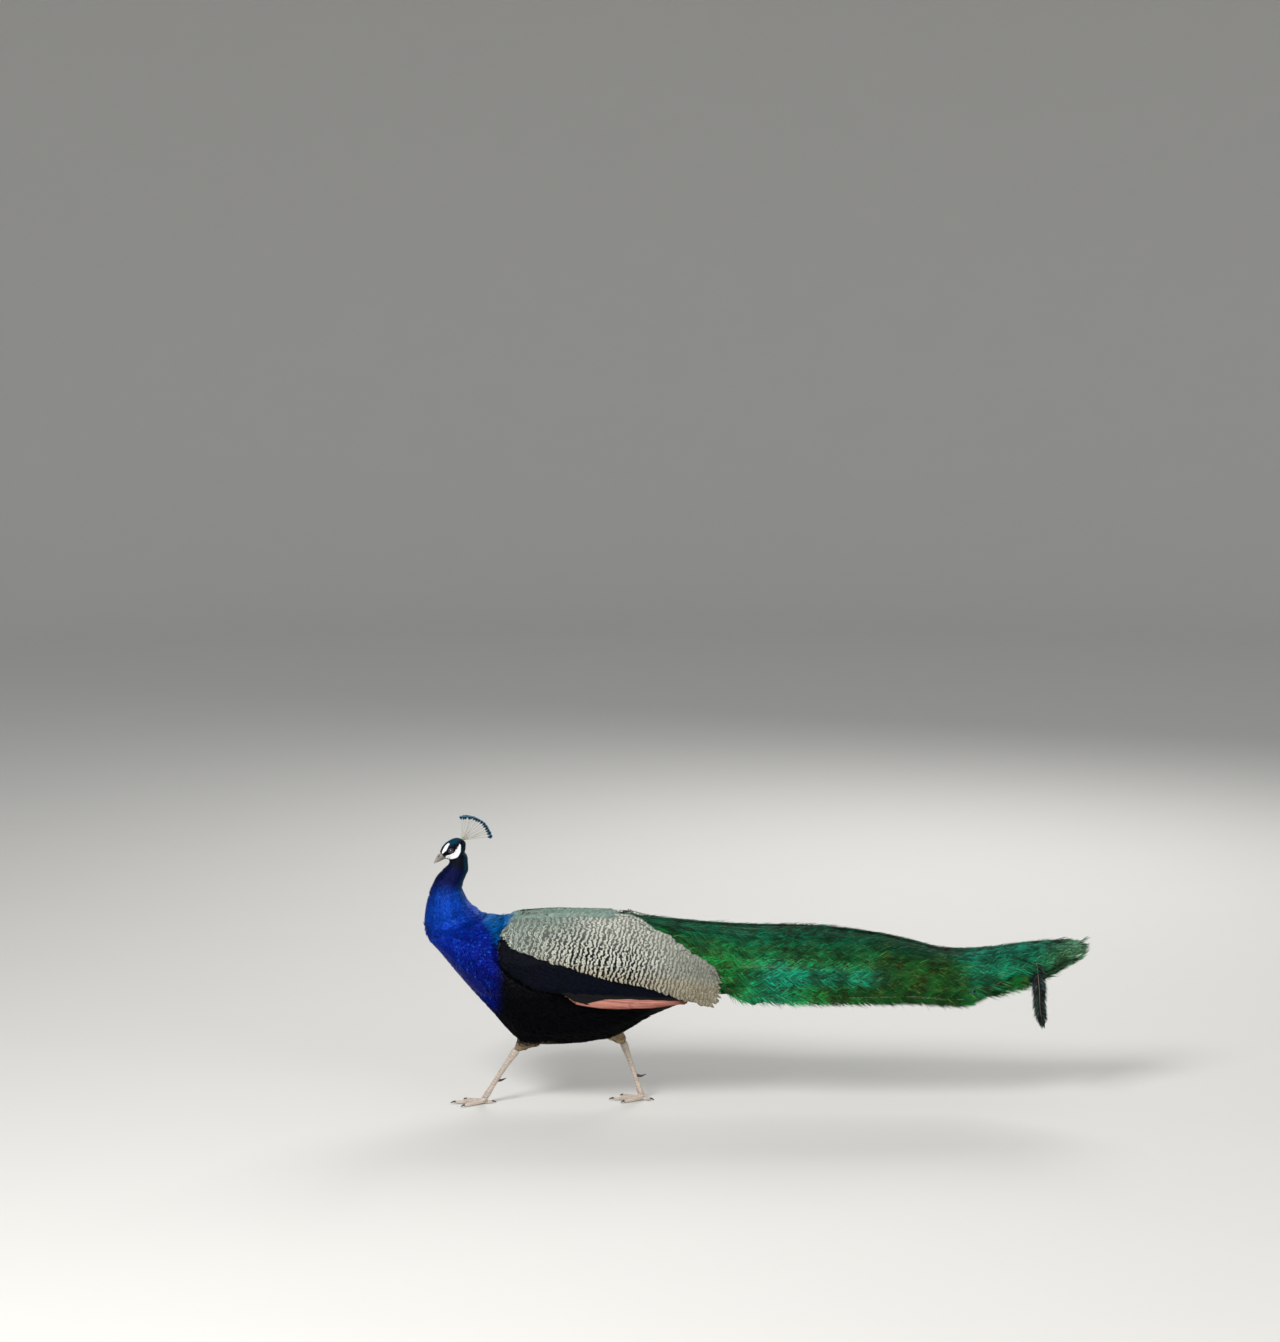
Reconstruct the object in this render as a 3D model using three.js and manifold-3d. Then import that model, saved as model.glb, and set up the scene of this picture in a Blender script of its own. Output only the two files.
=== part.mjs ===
// A life-size Indian peacock in mid-stride, in millimetres: +Z up, the bird faces -X and its left side is -Y.
// The sculpture is made of smooth lofts. Flesh is modelled whole and then parted with thin cuts, so that each
// named part of the bird is one solid. The finished group is centred over the origin, with its soles at z = 0.
import * as THREE from "three";
import { mergeVertices } from "three/addons/utils/BufferGeometryUtils.js";
import Module from "manifold-3d";

const wasm = await Module();
wasm.setup();

// ---------------------------------------------------------------------------------------------------------
// Driving dimensions
// ---------------------------------------------------------------------------------------------------------
const GAP = 0.35; // clearance between neighbouring parts
const BACK_HEIGHT = 450; // top of the back above the soles
const BELLY_HEIGHT = 138; // lowest point of the belly above the soles
const BODY_HALF_WIDTH = 120; // flesh of the trunk, without the folded wings
const BREAST_X = -764; // front pole of the trunk loft
const RUMP_X = -20; // rear pole of the trunk loft
const WING_THICKNESS = 14; // scapulars and coverts of a folded wing
const HEAD_CENTRE = new THREE.Vector3(-701, 0, 605);
const HEAD_YAW = THREE.MathUtils.degToRad(20); // turned a little to the bird's left
const HEAD_PITCH = THREE.MathUtils.degToRad(27); // bill down
const EYE_RADIUS = 7;
const CREST_LENGTH = 62;
const CREST_FEATHERS = 13;
const CREST_FIRST = 114; // degrees from the bill to the first feather of the fan
const CREST_LAST = 205; // degrees from the bill to the last one
const TRAIN_START_X = -340; // where the train leaves the back
const TRAIN_TIP_X = 789;
const TRAIN_HALF_WIDTH = 112;
const TRAIN_DEPTH = 8; // thickness of the layered plumes
const TRAIN_CUTS = [110, 430]; // where the train is parted into three lengths
const TARSUS_RADIUS = 6.2;
const FEET_SPREAD = 15; // sideways distance of each foot from the midline
const TOE_RADIUS = 6.5;
const ANKLE_CUT_HEIGHT = 16; // between shank and foot

// ---------------------------------------------------------------------------------------------------------
// Tools: profiles, lofts and booleans
// ---------------------------------------------------------------------------------------------------------

// A smooth function through [x, value] pairs, with slopes limited so that it never overshoots them.
function profile(pairs) {
  const slope = (a, b) => (b[1] - a[1]) / (b[0] - a[0]);
  const tangents = pairs.map((p, i) => {
    if (i === 0 || i === pairs.length - 1) return 0;
    const before = slope(pairs[i - 1], p);
    const after = slope(p, pairs[i + 1]);
    return before * after <= 0 ? 0 : (2 * before * after) / (before + after);
  });
  const last = pairs.length - 1;
  tangents[0] = slope(pairs[0], pairs[1]);
  tangents[last] = slope(pairs[last - 1], pairs[last]);
  return (x) => {
    const at = THREE.MathUtils.clamp(x, pairs[0][0], pairs[last][0]);
    const i = Math.min(last - 1, pairs.findLastIndex((p) => p[0] <= at));
    const width = pairs[i + 1][0] - pairs[i][0];
    const t = (at - pairs[i][0]) / width;
    const rise = t * t * (3 - 2 * t);
    const pull = width * t * (1 - t) * ((1 - t) * tangents[i] - t * tangents[i + 1]);
    return pairs[i][1] * (1 - rise) + pairs[i + 1][1] * rise + pull;
  };
}

// A closed skin over rings of points. Every ring has the same number of points, and each end is a fan of faces.
function skinOver(rings) {
  const around = rings[0].length;
  const points = rings.flat();
  const faces = [];
  for (let r = 0; r + 1 < rings.length; r++) {
    for (let i = 0; i < around; i++) {
      const a = r * around + i;
      const b = r * around + ((i + 1) % around);
      faces.push(a, b, a + around, b, b + around, a + around);
    }
  }
  for (const [start, flip] of [[0, true], [(rings.length - 1) * around, false]]) {
    const centre = new THREE.Vector3();
    for (let i = 0; i < around; i++) centre.addScaledVector(points[start + i], 1 / around);
    const hub = points.push(centre) - 1;
    for (let i = 0; i < around; i++) {
      const a = start + i;
      const b = start + ((i + 1) % around);
      faces.push(...(flip ? [b, a, hub] : [a, b, hub]));
    }
  }
  const geometry = new THREE.BufferGeometry().setFromPoints(points);
  geometry.setIndex(faces);
  return geometry;
}

// A geometry as a manifold-3d solid, turned the right way out.
function solid(geometry) {
  const bare = new THREE.BufferGeometry();
  bare.setAttribute("position", geometry.getAttribute("position"));
  bare.setIndex(geometry.index);
  const merged = mergeVertices(bare, 1e-3);
  const triVerts = new Uint32Array(merged.index.array);
  const vertProperties = merged.attributes.position.array;
  const made = new wasm.Manifold(new wasm.Mesh({ numProp: 3, vertProperties, triVerts }));
  if (made.volume() > 0) return made;
  for (let i = 0; i < triVerts.length; i += 3) {
    [triVerts[i + 1], triVerts[i + 2]] = [triVerts[i + 2], triVerts[i + 1]];
  }
  return new wasm.Manifold(new wasm.Mesh({ numProp: 3, vertProperties, triVerts }));
}

function geometryOf(made) {
  const mesh = made.getMesh();
  const positions = new Float32Array(mesh.numVert * 3);
  for (let i = 0; i < mesh.numVert; i++) {
    positions.set(mesh.vertProperties.subarray(i * mesh.numProp, i * mesh.numProp + 3), i * 3);
  }
  const geometry = new THREE.BufferGeometry();
  geometry.setAttribute("position", new THREE.BufferAttribute(positions, 3));
  geometry.setIndex(new THREE.BufferAttribute(new Uint32Array(mesh.triVerts), 1));
  return geometry;
}

const joined = (parts) => parts.reduce((all, part) => all.add(part));

// The main body of a cut solid, without the slivers that a knife can leave.
const mainBody = (made) => made.decompose().reduce((a, b) => (b.volume() > a.volume() ? b : a));

// A box between two corners.
function block(low, high) {
  const size = high.map((v, i) => v - low[i]);
  const box = new THREE.BoxGeometry(...size);
  return solid(box.translate(...low.map((v, i) => v + size[i] / 2)));
}

// A body of upright ellipses along X. Each profile gives a height or half-width at x, and grow swells the body.
function uprightLoft({ start, end, top, bottom, halfWidth, steps = 16, around = 16, grow = 0 }) {
  const rings = [];
  for (let s = 0; s <= steps; s++) {
    const share = 0.5 - 0.5 * Math.cos((Math.PI * s) / steps);
    const x = THREE.MathUtils.lerp(start - grow, end + grow, 0.35 * share + (0.65 * s) / steps);
    const middle = (top(x) + bottom(x)) / 2;
    const halfDepth = (top(x) - bottom(x)) / 2 + grow;
    const half = halfWidth(x) + grow;
    const ring = [];
    for (let i = 0; i < around; i++) {
      const angle = (2 * Math.PI * i) / around;
      ring.push(new THREE.Vector3(x, half * Math.cos(angle), middle + halfDepth * Math.sin(angle)));
    }
    rings.push(ring);
  }
  return solid(skinOver(rings));
}

// A limb of ellipses square to a curved spine. thick is the half-size in the plane of the bend and
// wide the half-size across it, both as functions of the share 0 to 1 along the spine.
function limb({ spine, thick, wide = thick, side = new THREE.Vector3(0, 1, 0), steps, around, grow = 0 }) {
  const curve = new THREE.CatmullRomCurve3(spine.map((p) => new THREE.Vector3(...p)));
  const rings = [];
  for (let s = 0; s <= steps; s++) {
    const share = s / steps;
    const centre = curve.getPointAt(share);
    const along = curve.getTangentAt(share);
    const inPlane = new THREE.Vector3().crossVectors(along, side).normalize();
    const across = new THREE.Vector3().crossVectors(inPlane, along).normalize();
    const ring = [];
    for (let i = 0; i < around; i++) {
      const angle = (2 * Math.PI * i) / around;
      const point = centre.clone();
      point.addScaledVector(inPlane, (thick(share) + grow) * Math.cos(angle));
      point.addScaledVector(across, (wide(share) + grow) * Math.sin(angle));
      ring.push(point);
    }
    rings.push(ring);
  }
  return solid(skinOver(rings));
}

// ---------------------------------------------------------------------------------------------------------
// Trunk and neck
// ---------------------------------------------------------------------------------------------------------
const backLine = profile([
  [BREAST_X, 432], [-700, 452], [-640, 462], [-600, 453], [-565, 446], [-470, BACK_HEIGHT], [-370, 447],
  [-270, 428], [-180, 398], [-90, 360], [RUMP_X, 322],
]);
const bellyLine = profile([
  [BREAST_X, 398], [-748, 384], [-694, 318], [-652, 268], [-617, 230], [-575, 182], [-548, 154],
  [-505, BELLY_HEIGHT], [-400, 143], [-345, 152], [-290, 176], [-241, 206], [-187, 230], [-110, 258],
  [RUMP_X, 292],
]);
const trunkWidth = profile([
  [BREAST_X, 26], [-735, 60], [-680, 89], [-600, 111], [-470, BODY_HALF_WIDTH],
  [-350, 116], [-250, 97], [-150, 68], [-70, 40], [RUMP_X, 14],
]);
const trunkShape = { start: BREAST_X, end: RUMP_X, top: backLine, bottom: bellyLine, halfWidth: trunkWidth };
const trunkWhole = uprightLoft(trunkShape);
const trunkCleared = uprightLoft({ ...trunkShape, grow: GAP });

// The neck leaves the breast upwards in a shallow S and narrows to the head.
const neckShape = {
  spine: [
    [-655, 0, 376], [-680, 0, 406], [-702, 0, 437], [-711, 0, 468], [-713, 0, 502],
    [-709, 0, 524], [-697, 0, 546], [-684, 0, 568], [-691, 0, 607],
  ],
  thick: profile([
    [0, 58], [0.154, 66], [0.299, 70], [0.424, 56], [0.552, 43.5], [0.644, 36], [0.732, 29], [0.835, 24.5],
    [0.93, 22], [1, 14],
  ]),
  wide: profile([
    [0, 58], [0.154, 64], [0.299, 62], [0.424, 49], [0.552, 38], [0.644, 32], [0.732, 26], [0.835, 22.5],
    [0.93, 20.5], [1, 13],
  ]),
  steps: 12,
  around: 14,
};
const neckWhole = limb(neckShape);

// ---------------------------------------------------------------------------------------------------------
// Head, eyes, bill and crest, in a frame at the skull's centre: +X forward, +Y the bird's left and +Z up
// ---------------------------------------------------------------------------------------------------------
const headFrame = new THREE.Matrix4().makeTranslation(HEAD_CENTRE);
headFrame.multiply(new THREE.Matrix4().makeRotationZ(Math.PI + HEAD_YAW));
headFrame.multiply(new THREE.Matrix4().makeRotationY(HEAD_PITCH));

const OCCIPUT = -37; // rear of the skull
const BROW = 27; // where the feathered face ends at the bill
const BILL_TIP = 51;

// Rings square to the head's own X axis: up, down and wide are half-sizes, middle the centre's height.
function headLoft({ from, to, up, down, wide, middle = () => 0, steps = 8, around = 14 }) {
  const rings = [];
  for (let s = 0; s <= steps; s++) {
    const x = THREE.MathUtils.lerp(from, to, s / steps);
    const ring = [];
    for (let i = 0; i < around; i++) {
      const angle = (2 * Math.PI * i) / around;
      const height = Math.sin(angle) > 0 ? up(x) : down(x);
      ring.push(new THREE.Vector3(x, wide(x) * Math.cos(angle), middle(x) + height * Math.sin(angle)));
    }
    rings.push(ring);
  }
  return solid(skinOver(rings).applyMatrix4(headFrame));
}

const ball = (radius, x, y, z, detail = 5) =>
  solid(new THREE.SphereGeometry(radius, 2 * detail, detail).translate(x, y, z).applyMatrix4(headFrame));

const skullWhole = headLoft({
  from: OCCIPUT,
  to: BROW,
  up: profile([[OCCIPUT, 3], [-33, 12], [-22, 20.5], [-6, 23], [8, 21.5], [19, 16], [BROW, 10.5]]),
  down: profile([[OCCIPUT, 3], [-33, 12], [-22, 19], [-6, 20.5], [8, 18], [19, 13.5], [BROW, 9.5]]),
  wide: profile([[OCCIPUT, 3], [-33, 11], [-22, 17], [-6, 19.5], [8, 17], [19, 12], [BROW, 8]]),
});
const EYE_PLACE = { x: 5, y: 12.6, z: 4 };
const eyes = { left: 1, right: -1 };
for (const side of Object.keys(eyes)) {
  const place = [EYE_PLACE.x, EYE_PLACE.y * eyes[side], EYE_PLACE.z];
  eyes[side] = { socket: ball(EYE_RADIUS + GAP, ...place), ball: ball(EYE_RADIUS, ...place) };
}

// The bill: the upper half arches over the lower one and hooks down at its tip.
const gape = (x) => -3.2 - 2.6 * ((x - BROW) / (BILL_TIP - BROW)) ** 2;
const billShape = {
  from: BROW - 4,
  to: BILL_TIP,
  wide: profile([[BROW - 4, 7.6], [BROW + 8, 6.2], [BILL_TIP - 4, 2.6], [BILL_TIP, 0.8]]),
  steps: 7,
  around: 10,
};
const upperBillWhole = headLoft({
  ...billShape,
  middle: gape,
  up: profile([[BROW - 4, 10.5], [BROW + 6, 10], [BROW + 15, 6.6], [BILL_TIP, 1.2]]),
  down: profile([[BROW - 4, 0.4], [BILL_TIP - 8, 0.4], [BILL_TIP, 2.6]]),
});
const lowerBillWhole = headLoft({
  ...billShape,
  to: BILL_TIP - 4,
  middle: (x) => gape(x) - 1.2,
  up: () => 0.5,
  down: profile([[BROW - 4, 5.6], [BROW + 10, 4.2], [BILL_TIP - 4, 1]]),
});

// The crest: bare shafts that fan out in the head's middle plane, each with a small spade-shaped vane.
// A feather's stations give the share of its length, the half-height of its vane and its half-thickness.
const CREST_STATIONS = [[0.05, 0.5, 0.5], [0.72, 0.4, 0.4], [0.91, 4.8, 0.7], [1, 1.6, 0.4]];

function crestFan() {
  const root = new THREE.Vector3(-33, 0, 6);
  const parts = [ball(8, root.x, root.y, root.z - 2, 4)];
  for (let i = 0; i < CREST_FEATHERS; i++) {
    const share = i / (CREST_FEATHERS - 1);
    const angle = THREE.MathUtils.degToRad(CREST_FIRST + (CREST_LAST - CREST_FIRST) * share);
    const length = CREST_LENGTH * (0.97 + 0.16 * share);
    const lean = (i % 2 ? 1 : -1) * 1.2;
    const rings = CREST_STATIONS.map(([reach, high, thin]) => [
      new THREE.Vector3(reach * length, lean * reach, -high),
      new THREE.Vector3(reach * length, lean * reach + thin, 0),
      new THREE.Vector3(reach * length, lean * reach, high),
      new THREE.Vector3(reach * length, lean * reach - thin, 0),
    ]);
    const feather = skinOver(rings).rotateY(-angle).translate(root.x, root.y, root.z);
    parts.push(solid(feather.applyMatrix4(headFrame)));
  }
  return joined(parts);
}

// ---------------------------------------------------------------------------------------------------------
// Folded wings: a curved shell over the flank, parted into the barred coverts, the dark secondaries
// and the chestnut primaries, which lie a little deeper from one row to the next
// ---------------------------------------------------------------------------------------------------------
const wingTop = profile([[-640, 450], [-480, 463], [-330, 459], [-200, 452], [-60, 440]]);
const wingBottom = profile([[-640, 200], [-480, 150], [-330, 140], [-200, 150], [-60, 170]]);
const wingWidth = profile([
  [-640, 104], [-580, 124], [-500, 136], [-400, 141], [-300, 139], [-200, 130], [-120, 118], [-60, 104],
]);
const wingInnerWidth = profile([
  [-640, 84], [-560, 107], [-400, 112], [-300, 113], [-200, 111], [-120, 104], [-60, 92],
]);
const wingShape = {
  start: -640,
  end: -60,
  top: wingTop,
  bottom: wingBottom,
  halfWidth: wingWidth,
  steps: 10,
  around: 18,
};
const wingInside = {
  ...wingShape,
  start: -660,
  end: -40,
  top: (x) => wingTop(x) - WING_THICKNESS,
  halfWidth: wingInnerWidth,
};

// A closed outline in side view, moved outwards by grow, as a prism through the left half of the bird.
function sidePrism(outline, grow = 0) {
  const curve = new THREE.SplineCurve([...outline, outline[0]].map(([x, z]) => new THREE.Vector2(x, z)));
  const points = curve.getSpacedPoints(Math.round(1.6 * outline.length)).slice(1);
  const turn = THREE.ShapeUtils.area(points) > 0 ? 1 : -1;
  const moved = points.map((point, i) => {
    const before = points.at(i - 1);
    const after = points[(i + 1) % points.length];
    const along = after.clone().sub(before).normalize();
    return new THREE.Vector2(point.x + turn * grow * along.y, point.y - turn * grow * along.x);
  });
  const depth = 260;
  const prism = new THREE.ExtrudeGeometry(new THREE.Shape(moved), { depth, steps: 1, bevelEnabled: false });
  return solid(prism.rotateX(Math.PI / 2).translate(0, -22, 0));
}

const covertsOutline = [
  [-586, 420], [-568, 440], [-530, 462], [-450, 476], [-350, 472], [-264, 447], [-212, 417], [-157, 384],
  [-125, 365], [-99, 348], [-80, 324], [-80, 300], [-88, 277], [-150, 283], [-237, 314], [-330, 334],
  [-430, 360], [-530, 387], [-574, 402],
];
const secondariesOutline = [
  [-590, 410], [-560, 436], [-450, 440], [-350, 430], [-250, 384], [-170, 340], [-110, 300], [-104, 272],
  [-170, 272], [-250, 277], [-305, 281], [-362, 286], [-445, 294], [-520, 312], [-560, 336], [-592, 372],
];
const primariesOutline = [
  [-450, 330], [-300, 330], [-180, 300], [-112, 282], [-130, 269], [-190, 261],
  [-240, 252], [-305, 252], [-352, 255], [-395, 265], [-432, 278], [-452, 300],
];

// The rows of the left wing, and the room they take from the train and the thigh.
function leftWing() {
  const inside = uprightLoft(wingInside);
  const layer = (outline, sink) =>
    sidePrism(outline)
      .intersect(uprightLoft({ ...wingShape, grow: -sink }))
      .subtract(inside)
      .subtract(trunkCleared);
  const covertsRoom = sidePrism(covertsOutline, GAP);
  const secondariesRoom = sidePrism(secondariesOutline, GAP);
  const primariesRoom = sidePrism(primariesOutline, GAP);
  return {
    coverts: layer(covertsOutline, 0),
    secondaries: layer(secondariesOutline, 5).subtract(covertsRoom),
    primaries: layer(primariesOutline, 10).subtract(covertsRoom).subtract(secondariesRoom),
    room: joined([covertsRoom, secondariesRoom, primariesRoom]).subtract(
      uprightLoft({ ...wingInside, grow: -GAP }),
    ),
  };
}

// ---------------------------------------------------------------------------------------------------------
// Train: a long arched roof of plumes that leaves the back between the wings, and the short true tail under it
// ---------------------------------------------------------------------------------------------------------
const trainCrown = profile([
  [TRAIN_START_X, 448], [-290, 443], [-122, 429], [-5, 422], [110, 421], [229, 412], [294, 402], [346, 392],
  [388, 377], [419, 368], [470, 363], [526, 363], [580, 370], [650, 382], [732, 387], [TRAIN_TIP_X, 380],
]);
const trainEdge = profile([
  [TRAIN_START_X, 428], [-260, 384], [-160, 336], [-77, 296], [5, 266], [102, 262], [221, 261], [336, 263],
  [394, 264], [451, 274], [509, 279], [567, 296], [613, 306], [637, 318], [700, 338], [742, 352],
  [TRAIN_TIP_X, 370],
]);
const trainWidth = profile([
  [TRAIN_START_X, 30], [-260, 66], [-160, 92], [-60, 104], [100, TRAIN_HALF_WIDTH], [300, 110], [460, 100],
  [600, 78], [690, 54], [750, 32], [TRAIN_TIP_X, 8],
]);
const HOLLOW_END_X = 690;

// Stations on a fixed grid between two ends, so that lofts of one profile keep their distance from each other.
function stations(start, end, spacing) {
  const first = Math.floor(start / spacing) + 1;
  const last = Math.ceil(end / spacing) - 1;
  const inner = Array.from({ length: last - first + 1 }, (_, i) => (first + i) * spacing);
  return [start, ...inner, end];
}

// An arch from one lower edge over the crown to the other, closed by a flat underside.
function archLoft({ start, end, crown, edge, halfWidth, spacing = 72, around = 8 }) {
  const rings = stations(start, end, spacing).map((x) => {
    const ring = [];
    for (let i = 0; i <= around; i++) {
      const angle = (Math.PI * i) / around;
      const height = edge(x) + (crown(x) - edge(x)) * Math.sin(angle);
      ring.push(new THREE.Vector3(x, -halfWidth(x) * Math.cos(angle), height));
    }
    return ring;
  });
  return solid(skinOver(rings));
}

// The arch shrunk by a depth, or swollen where that is negative; both reach below its underside.
const sunkArch = (depth, start, end) =>
  archLoft({
    start,
    end,
    crown: (x) => trainCrown(x) - depth,
    edge: (x) => trainEdge(x) - Math.abs(depth),
    halfWidth: (x) => Math.max(3, trainWidth(x) - depth),
  });

function trainShell(clearance = 0) {
  const outer = sunkArch(-clearance, TRAIN_START_X - clearance, TRAIN_TIP_X + clearance);
  return outer.subtract(sunkArch(TRAIN_DEPTH + clearance, TRAIN_START_X - 10, HOLLOW_END_X - clearance));
}

// Single plumes that end past the others along the train's lower edge and round its tip.
const LOOSE_PLUMES = [
  { from: [400, -100, 270], to: [520, -90, 266] },
  { from: [520, -86, 296], to: [650, -66, 306] },
  { from: [500, 88, 292], to: [620, 74, 296] },
  { from: [590, 70, 318], to: [712, 46, 334] },
  { from: [660, 36, 368], to: [768, 28, 360] },
  { from: [680, 0, 380], to: [786, -14, 392] },
];
const loosePlume = ({ from, to }, grow = 0) =>
  limb({
    spine: [from, [(from[0] + to[0]) / 2, (from[1] + to[1]) / 2, (from[2] + to[2]) / 2 + 3], to],
    thick: profile([[0, 5], [0.6, 13], [0.85, 12], [1, 4]]),
    wide: profile([[0, 3], [0.6, 4.5], [1, 2]]),
    steps: 3,
    around: 6,
    grow,
  });

// The whole train before it is parted, swollen by a clearance where its neighbours are cut to it.
const trainWhole = (clearance = 0) =>
  joined([trainShell(clearance), ...LOOSE_PLUMES.map((plume) => loosePlume(plume, clearance))]);

// The stiff tail close under the train: a shallow arched fan with a rounded end.
function tailFan() {
  const start = -120;
  const end = 262;
  const crown = profile([[start, 380], [-20, 404], [120, 408], [end, 396]]);
  const edge = profile([[start, 346], [-20, 348], [160, 350], [end, 366]]);
  const halfWidth = profile([[start, 40], [-20, 66], [180, 84], [235, 72], [end, 40]]);
  const outer = archLoft({ start, end, crown, edge, halfWidth, spacing: 96, around: 6 });
  const hollow = archLoft({
    start: start - 10,
    end: end + 10,
    crown: (x) => crown(x) - 6,
    edge: (x) => edge(x) - 6,
    halfWidth: (x) => halfWidth(x) - 6,
    spacing: 96,
    around: 6,
  });
  return outer.subtract(hollow);
}

// One broken plume that hangs from the end of the train.
const hangingPlume = limb({
  spine: [[655, -60, 350], [668, -62, 310], [666, -60, 262], [672, -56, 226], [679, -52, 200]],
  thick: profile([[0, 6], [0.25, 14], [0.6, 15], [0.85, 11], [1, 4]]),
  wide: profile([[0, 3], [0.5, 3.5], [1, 1.5]]),
  steps: 7,
  around: 6,
});

// ---------------------------------------------------------------------------------------------------------
// Legs: side is +1 for the bird's left, which is -Y. Each leg is given by its hip, hock and ankle.
// ---------------------------------------------------------------------------------------------------------
const legs = {
  left: { sign: -1, hip: [-452, 236], knee: [-498, 186], hock: [-548, 136], ankle: [-630, 17] },
  right: { sign: 1, hip: [-404, 236], knee: [-352, 190], hock: [-304, 143], ankle: [-258, 17] },
};
const TOES = [
  { turn: 0, length: 66, claw: 15 },
  { turn: 31, length: 48, claw: 13 },
  { turn: -33, length: 52, claw: 13 },
  { turn: 168, length: 21, claw: 12 },
];

function thighSolid({ sign, hip, knee, hock }) {
  return limb({
    spine: [
      [hip[0], sign * 52, hip[1]],
      [knee[0], sign * 46, knee[1]],
      [(knee[0] + 2 * hock[0]) / 3, sign * 33, (knee[1] + 2 * hock[1]) / 3],
      [hock[0], sign * (FEET_SPREAD + 8), hock[1]],
    ],
    thick: profile([[0, 58], [0.35, 50], [0.7, 30], [0.88, 17], [1, 10.5]]),
    wide: profile([[0, 36], [0.35, 34], [0.7, 23], [0.88, 14], [1, 9]]),
    steps: 7,
    around: 10,
  });
}

function shankSolid({ sign, hock, ankle }, grow = 0) {
  return limb({
    spine: [
      [hock[0], sign * (FEET_SPREAD + 8), hock[1] + 2],
      [(hock[0] + ankle[0]) / 2, sign * (FEET_SPREAD + 4), (hock[1] + ankle[1]) / 2],
      [ankle[0], sign * FEET_SPREAD, ankle[1] - 8],
    ],
    thick: profile([
      [0, 9], [0.12, 9.4], [0.3, TARSUS_RADIUS + 0.6], [0.8, TARSUS_RADIUS], [0.93, 8.2], [1, 7.6],
    ]),
    wide: profile([
      [0, 8], [0.12, 8], [0.3, TARSUS_RADIUS - 0.6], [0.8, TARSUS_RADIUS - 0.6], [0.93, 8], [1, 8],
    ]),
    steps: 8,
    around: 8,
    grow,
  });
}

// A toe from the ankle to the root of its claw: a row of three pads, flat below.
function toeRay({ sign, ankle }, toe) {
  const heading = Math.PI + THREE.MathUtils.degToRad(toe.turn) * sign;
  const at = (reach, height) => [
    ankle[0] + reach * Math.cos(heading),
    sign * FEET_SPREAD + reach * Math.sin(heading),
    height,
  ];
  const across = new THREE.Vector3(-Math.sin(heading), Math.cos(heading), 0);
  return { at, across };
}

function toeSolid(leg, toe, grow = 0) {
  const { at, across } = toeRay(leg, toe);
  const size = toe.turn > 90 ? 0.78 : 1;
  const pads = (share) => 0.35 * Math.cos(5 * Math.PI * share);
  return limb({
    spine: [
      at(0, 7),
      at(toe.length * 0.35, 4.9 * size),
      at(toe.length * 0.7, 4 * size),
      at(toe.length, 3.3 * size),
    ],
    thick: (share) => size * (TOE_RADIUS - 2.3 * share + pads(share)),
    wide: (share) => size * (TOE_RADIUS - 2.1 * share + pads(share)),
    side: across,
    steps: 4,
    around: 6,
    grow,
  });
}

function clawSolid(leg, toe) {
  const { at, across } = toeRay(leg, toe);
  const start = toe.length - 3;
  return limb({
    spine: [at(start, 4), at(start + toe.claw * 0.5, 5.2), at(start + toe.claw, 1.6)],
    thick: profile([[0, 2.7], [0.5, 2.3], [1, 0.6]]),
    wide: profile([[0, 2.3], [0.5, 1.9], [1, 0.5]]),
    side: across,
    steps: 3,
    around: 6,
  });
}

function spurSolid({ sign, hock, ankle }) {
  const share = 0.66;
  const x = THREE.MathUtils.lerp(hock[0], ankle[0], share);
  const z = THREE.MathUtils.lerp(hock[1], ankle[1], share);
  return limb({
    spine: [
      [x + 2, sign * (FEET_SPREAD + 3), z],
      [x + 14, sign * (FEET_SPREAD - 1), z - 1],
      [x + 26, sign * (FEET_SPREAD - 3), z + 4],
    ],
    thick: profile([[0, 4.6], [0.5, 2.9], [1, 0.7]]),
    steps: 4,
    around: 6,
  });
}

// ---------------------------------------------------------------------------------------------------------
// Assembly
// ---------------------------------------------------------------------------------------------------------
const finish = (color, roughness = 0.6, metalness = 0) =>
  new THREE.MeshStandardMaterial({ color, roughness, metalness });
const finishes = {
  blue: finish(0x0a2a9c, 0.4, 0.5),
  navy: finish(0x0b1840, 0.5, 0.4),
  barred: finish(0xb9ae94, 0.75),
  dark: finish(0x0a0d14, 0.5),
  chestnut: finish(0xb56a4a, 0.7),
  train: finish(0x0c6b3c, 0.45, 0.4),
  tail: finish(0x4a3a2c, 0.8),
  belly: finish(0x11140f, 0.8),
  horn: finish(0x8d8676, 0.45),
  eye: finish(0x170b05, 0.1),
  leg: finish(0xb3a08c, 0.6),
  claw: finish(0x3b342d, 0.4),
};

const bird = new THREE.Group();
function place(name, shape, material) {
  const mesh = new THREE.Mesh(geometryOf(mainBody(shape)), material);
  mesh.name = name;
  bird.add(mesh);
}

// Everything on one side of a plane through (x, z) that leans by tilt about Y, less half the clearance.
function halfSpace({ x, z, tilt }, upper) {
  const size = 2000;
  const shift = (upper ? 1 : -1) * (size / 2 + GAP / 2);
  const box = new THREE.BoxGeometry(size, size, size).translate(0, 0, shift);
  return solid(box.rotateY(tilt).translate(x, 0, z));
}
const above = (cut) => halfSpace(cut, true);
const below = (cut) => halfSpace(cut, false);
const cutAt = (x, z, degrees) => ({ x, z, tilt: THREE.MathUtils.degToRad(degrees) });

const headCut = cutAt(-692, 584, -18);
const neckCut = cutAt(-731, 508, -14);
const breastCut = cutAt(-690, 428, -17.5);
const floorCut = cutAt(0, -GAP / 2, 0);

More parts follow.
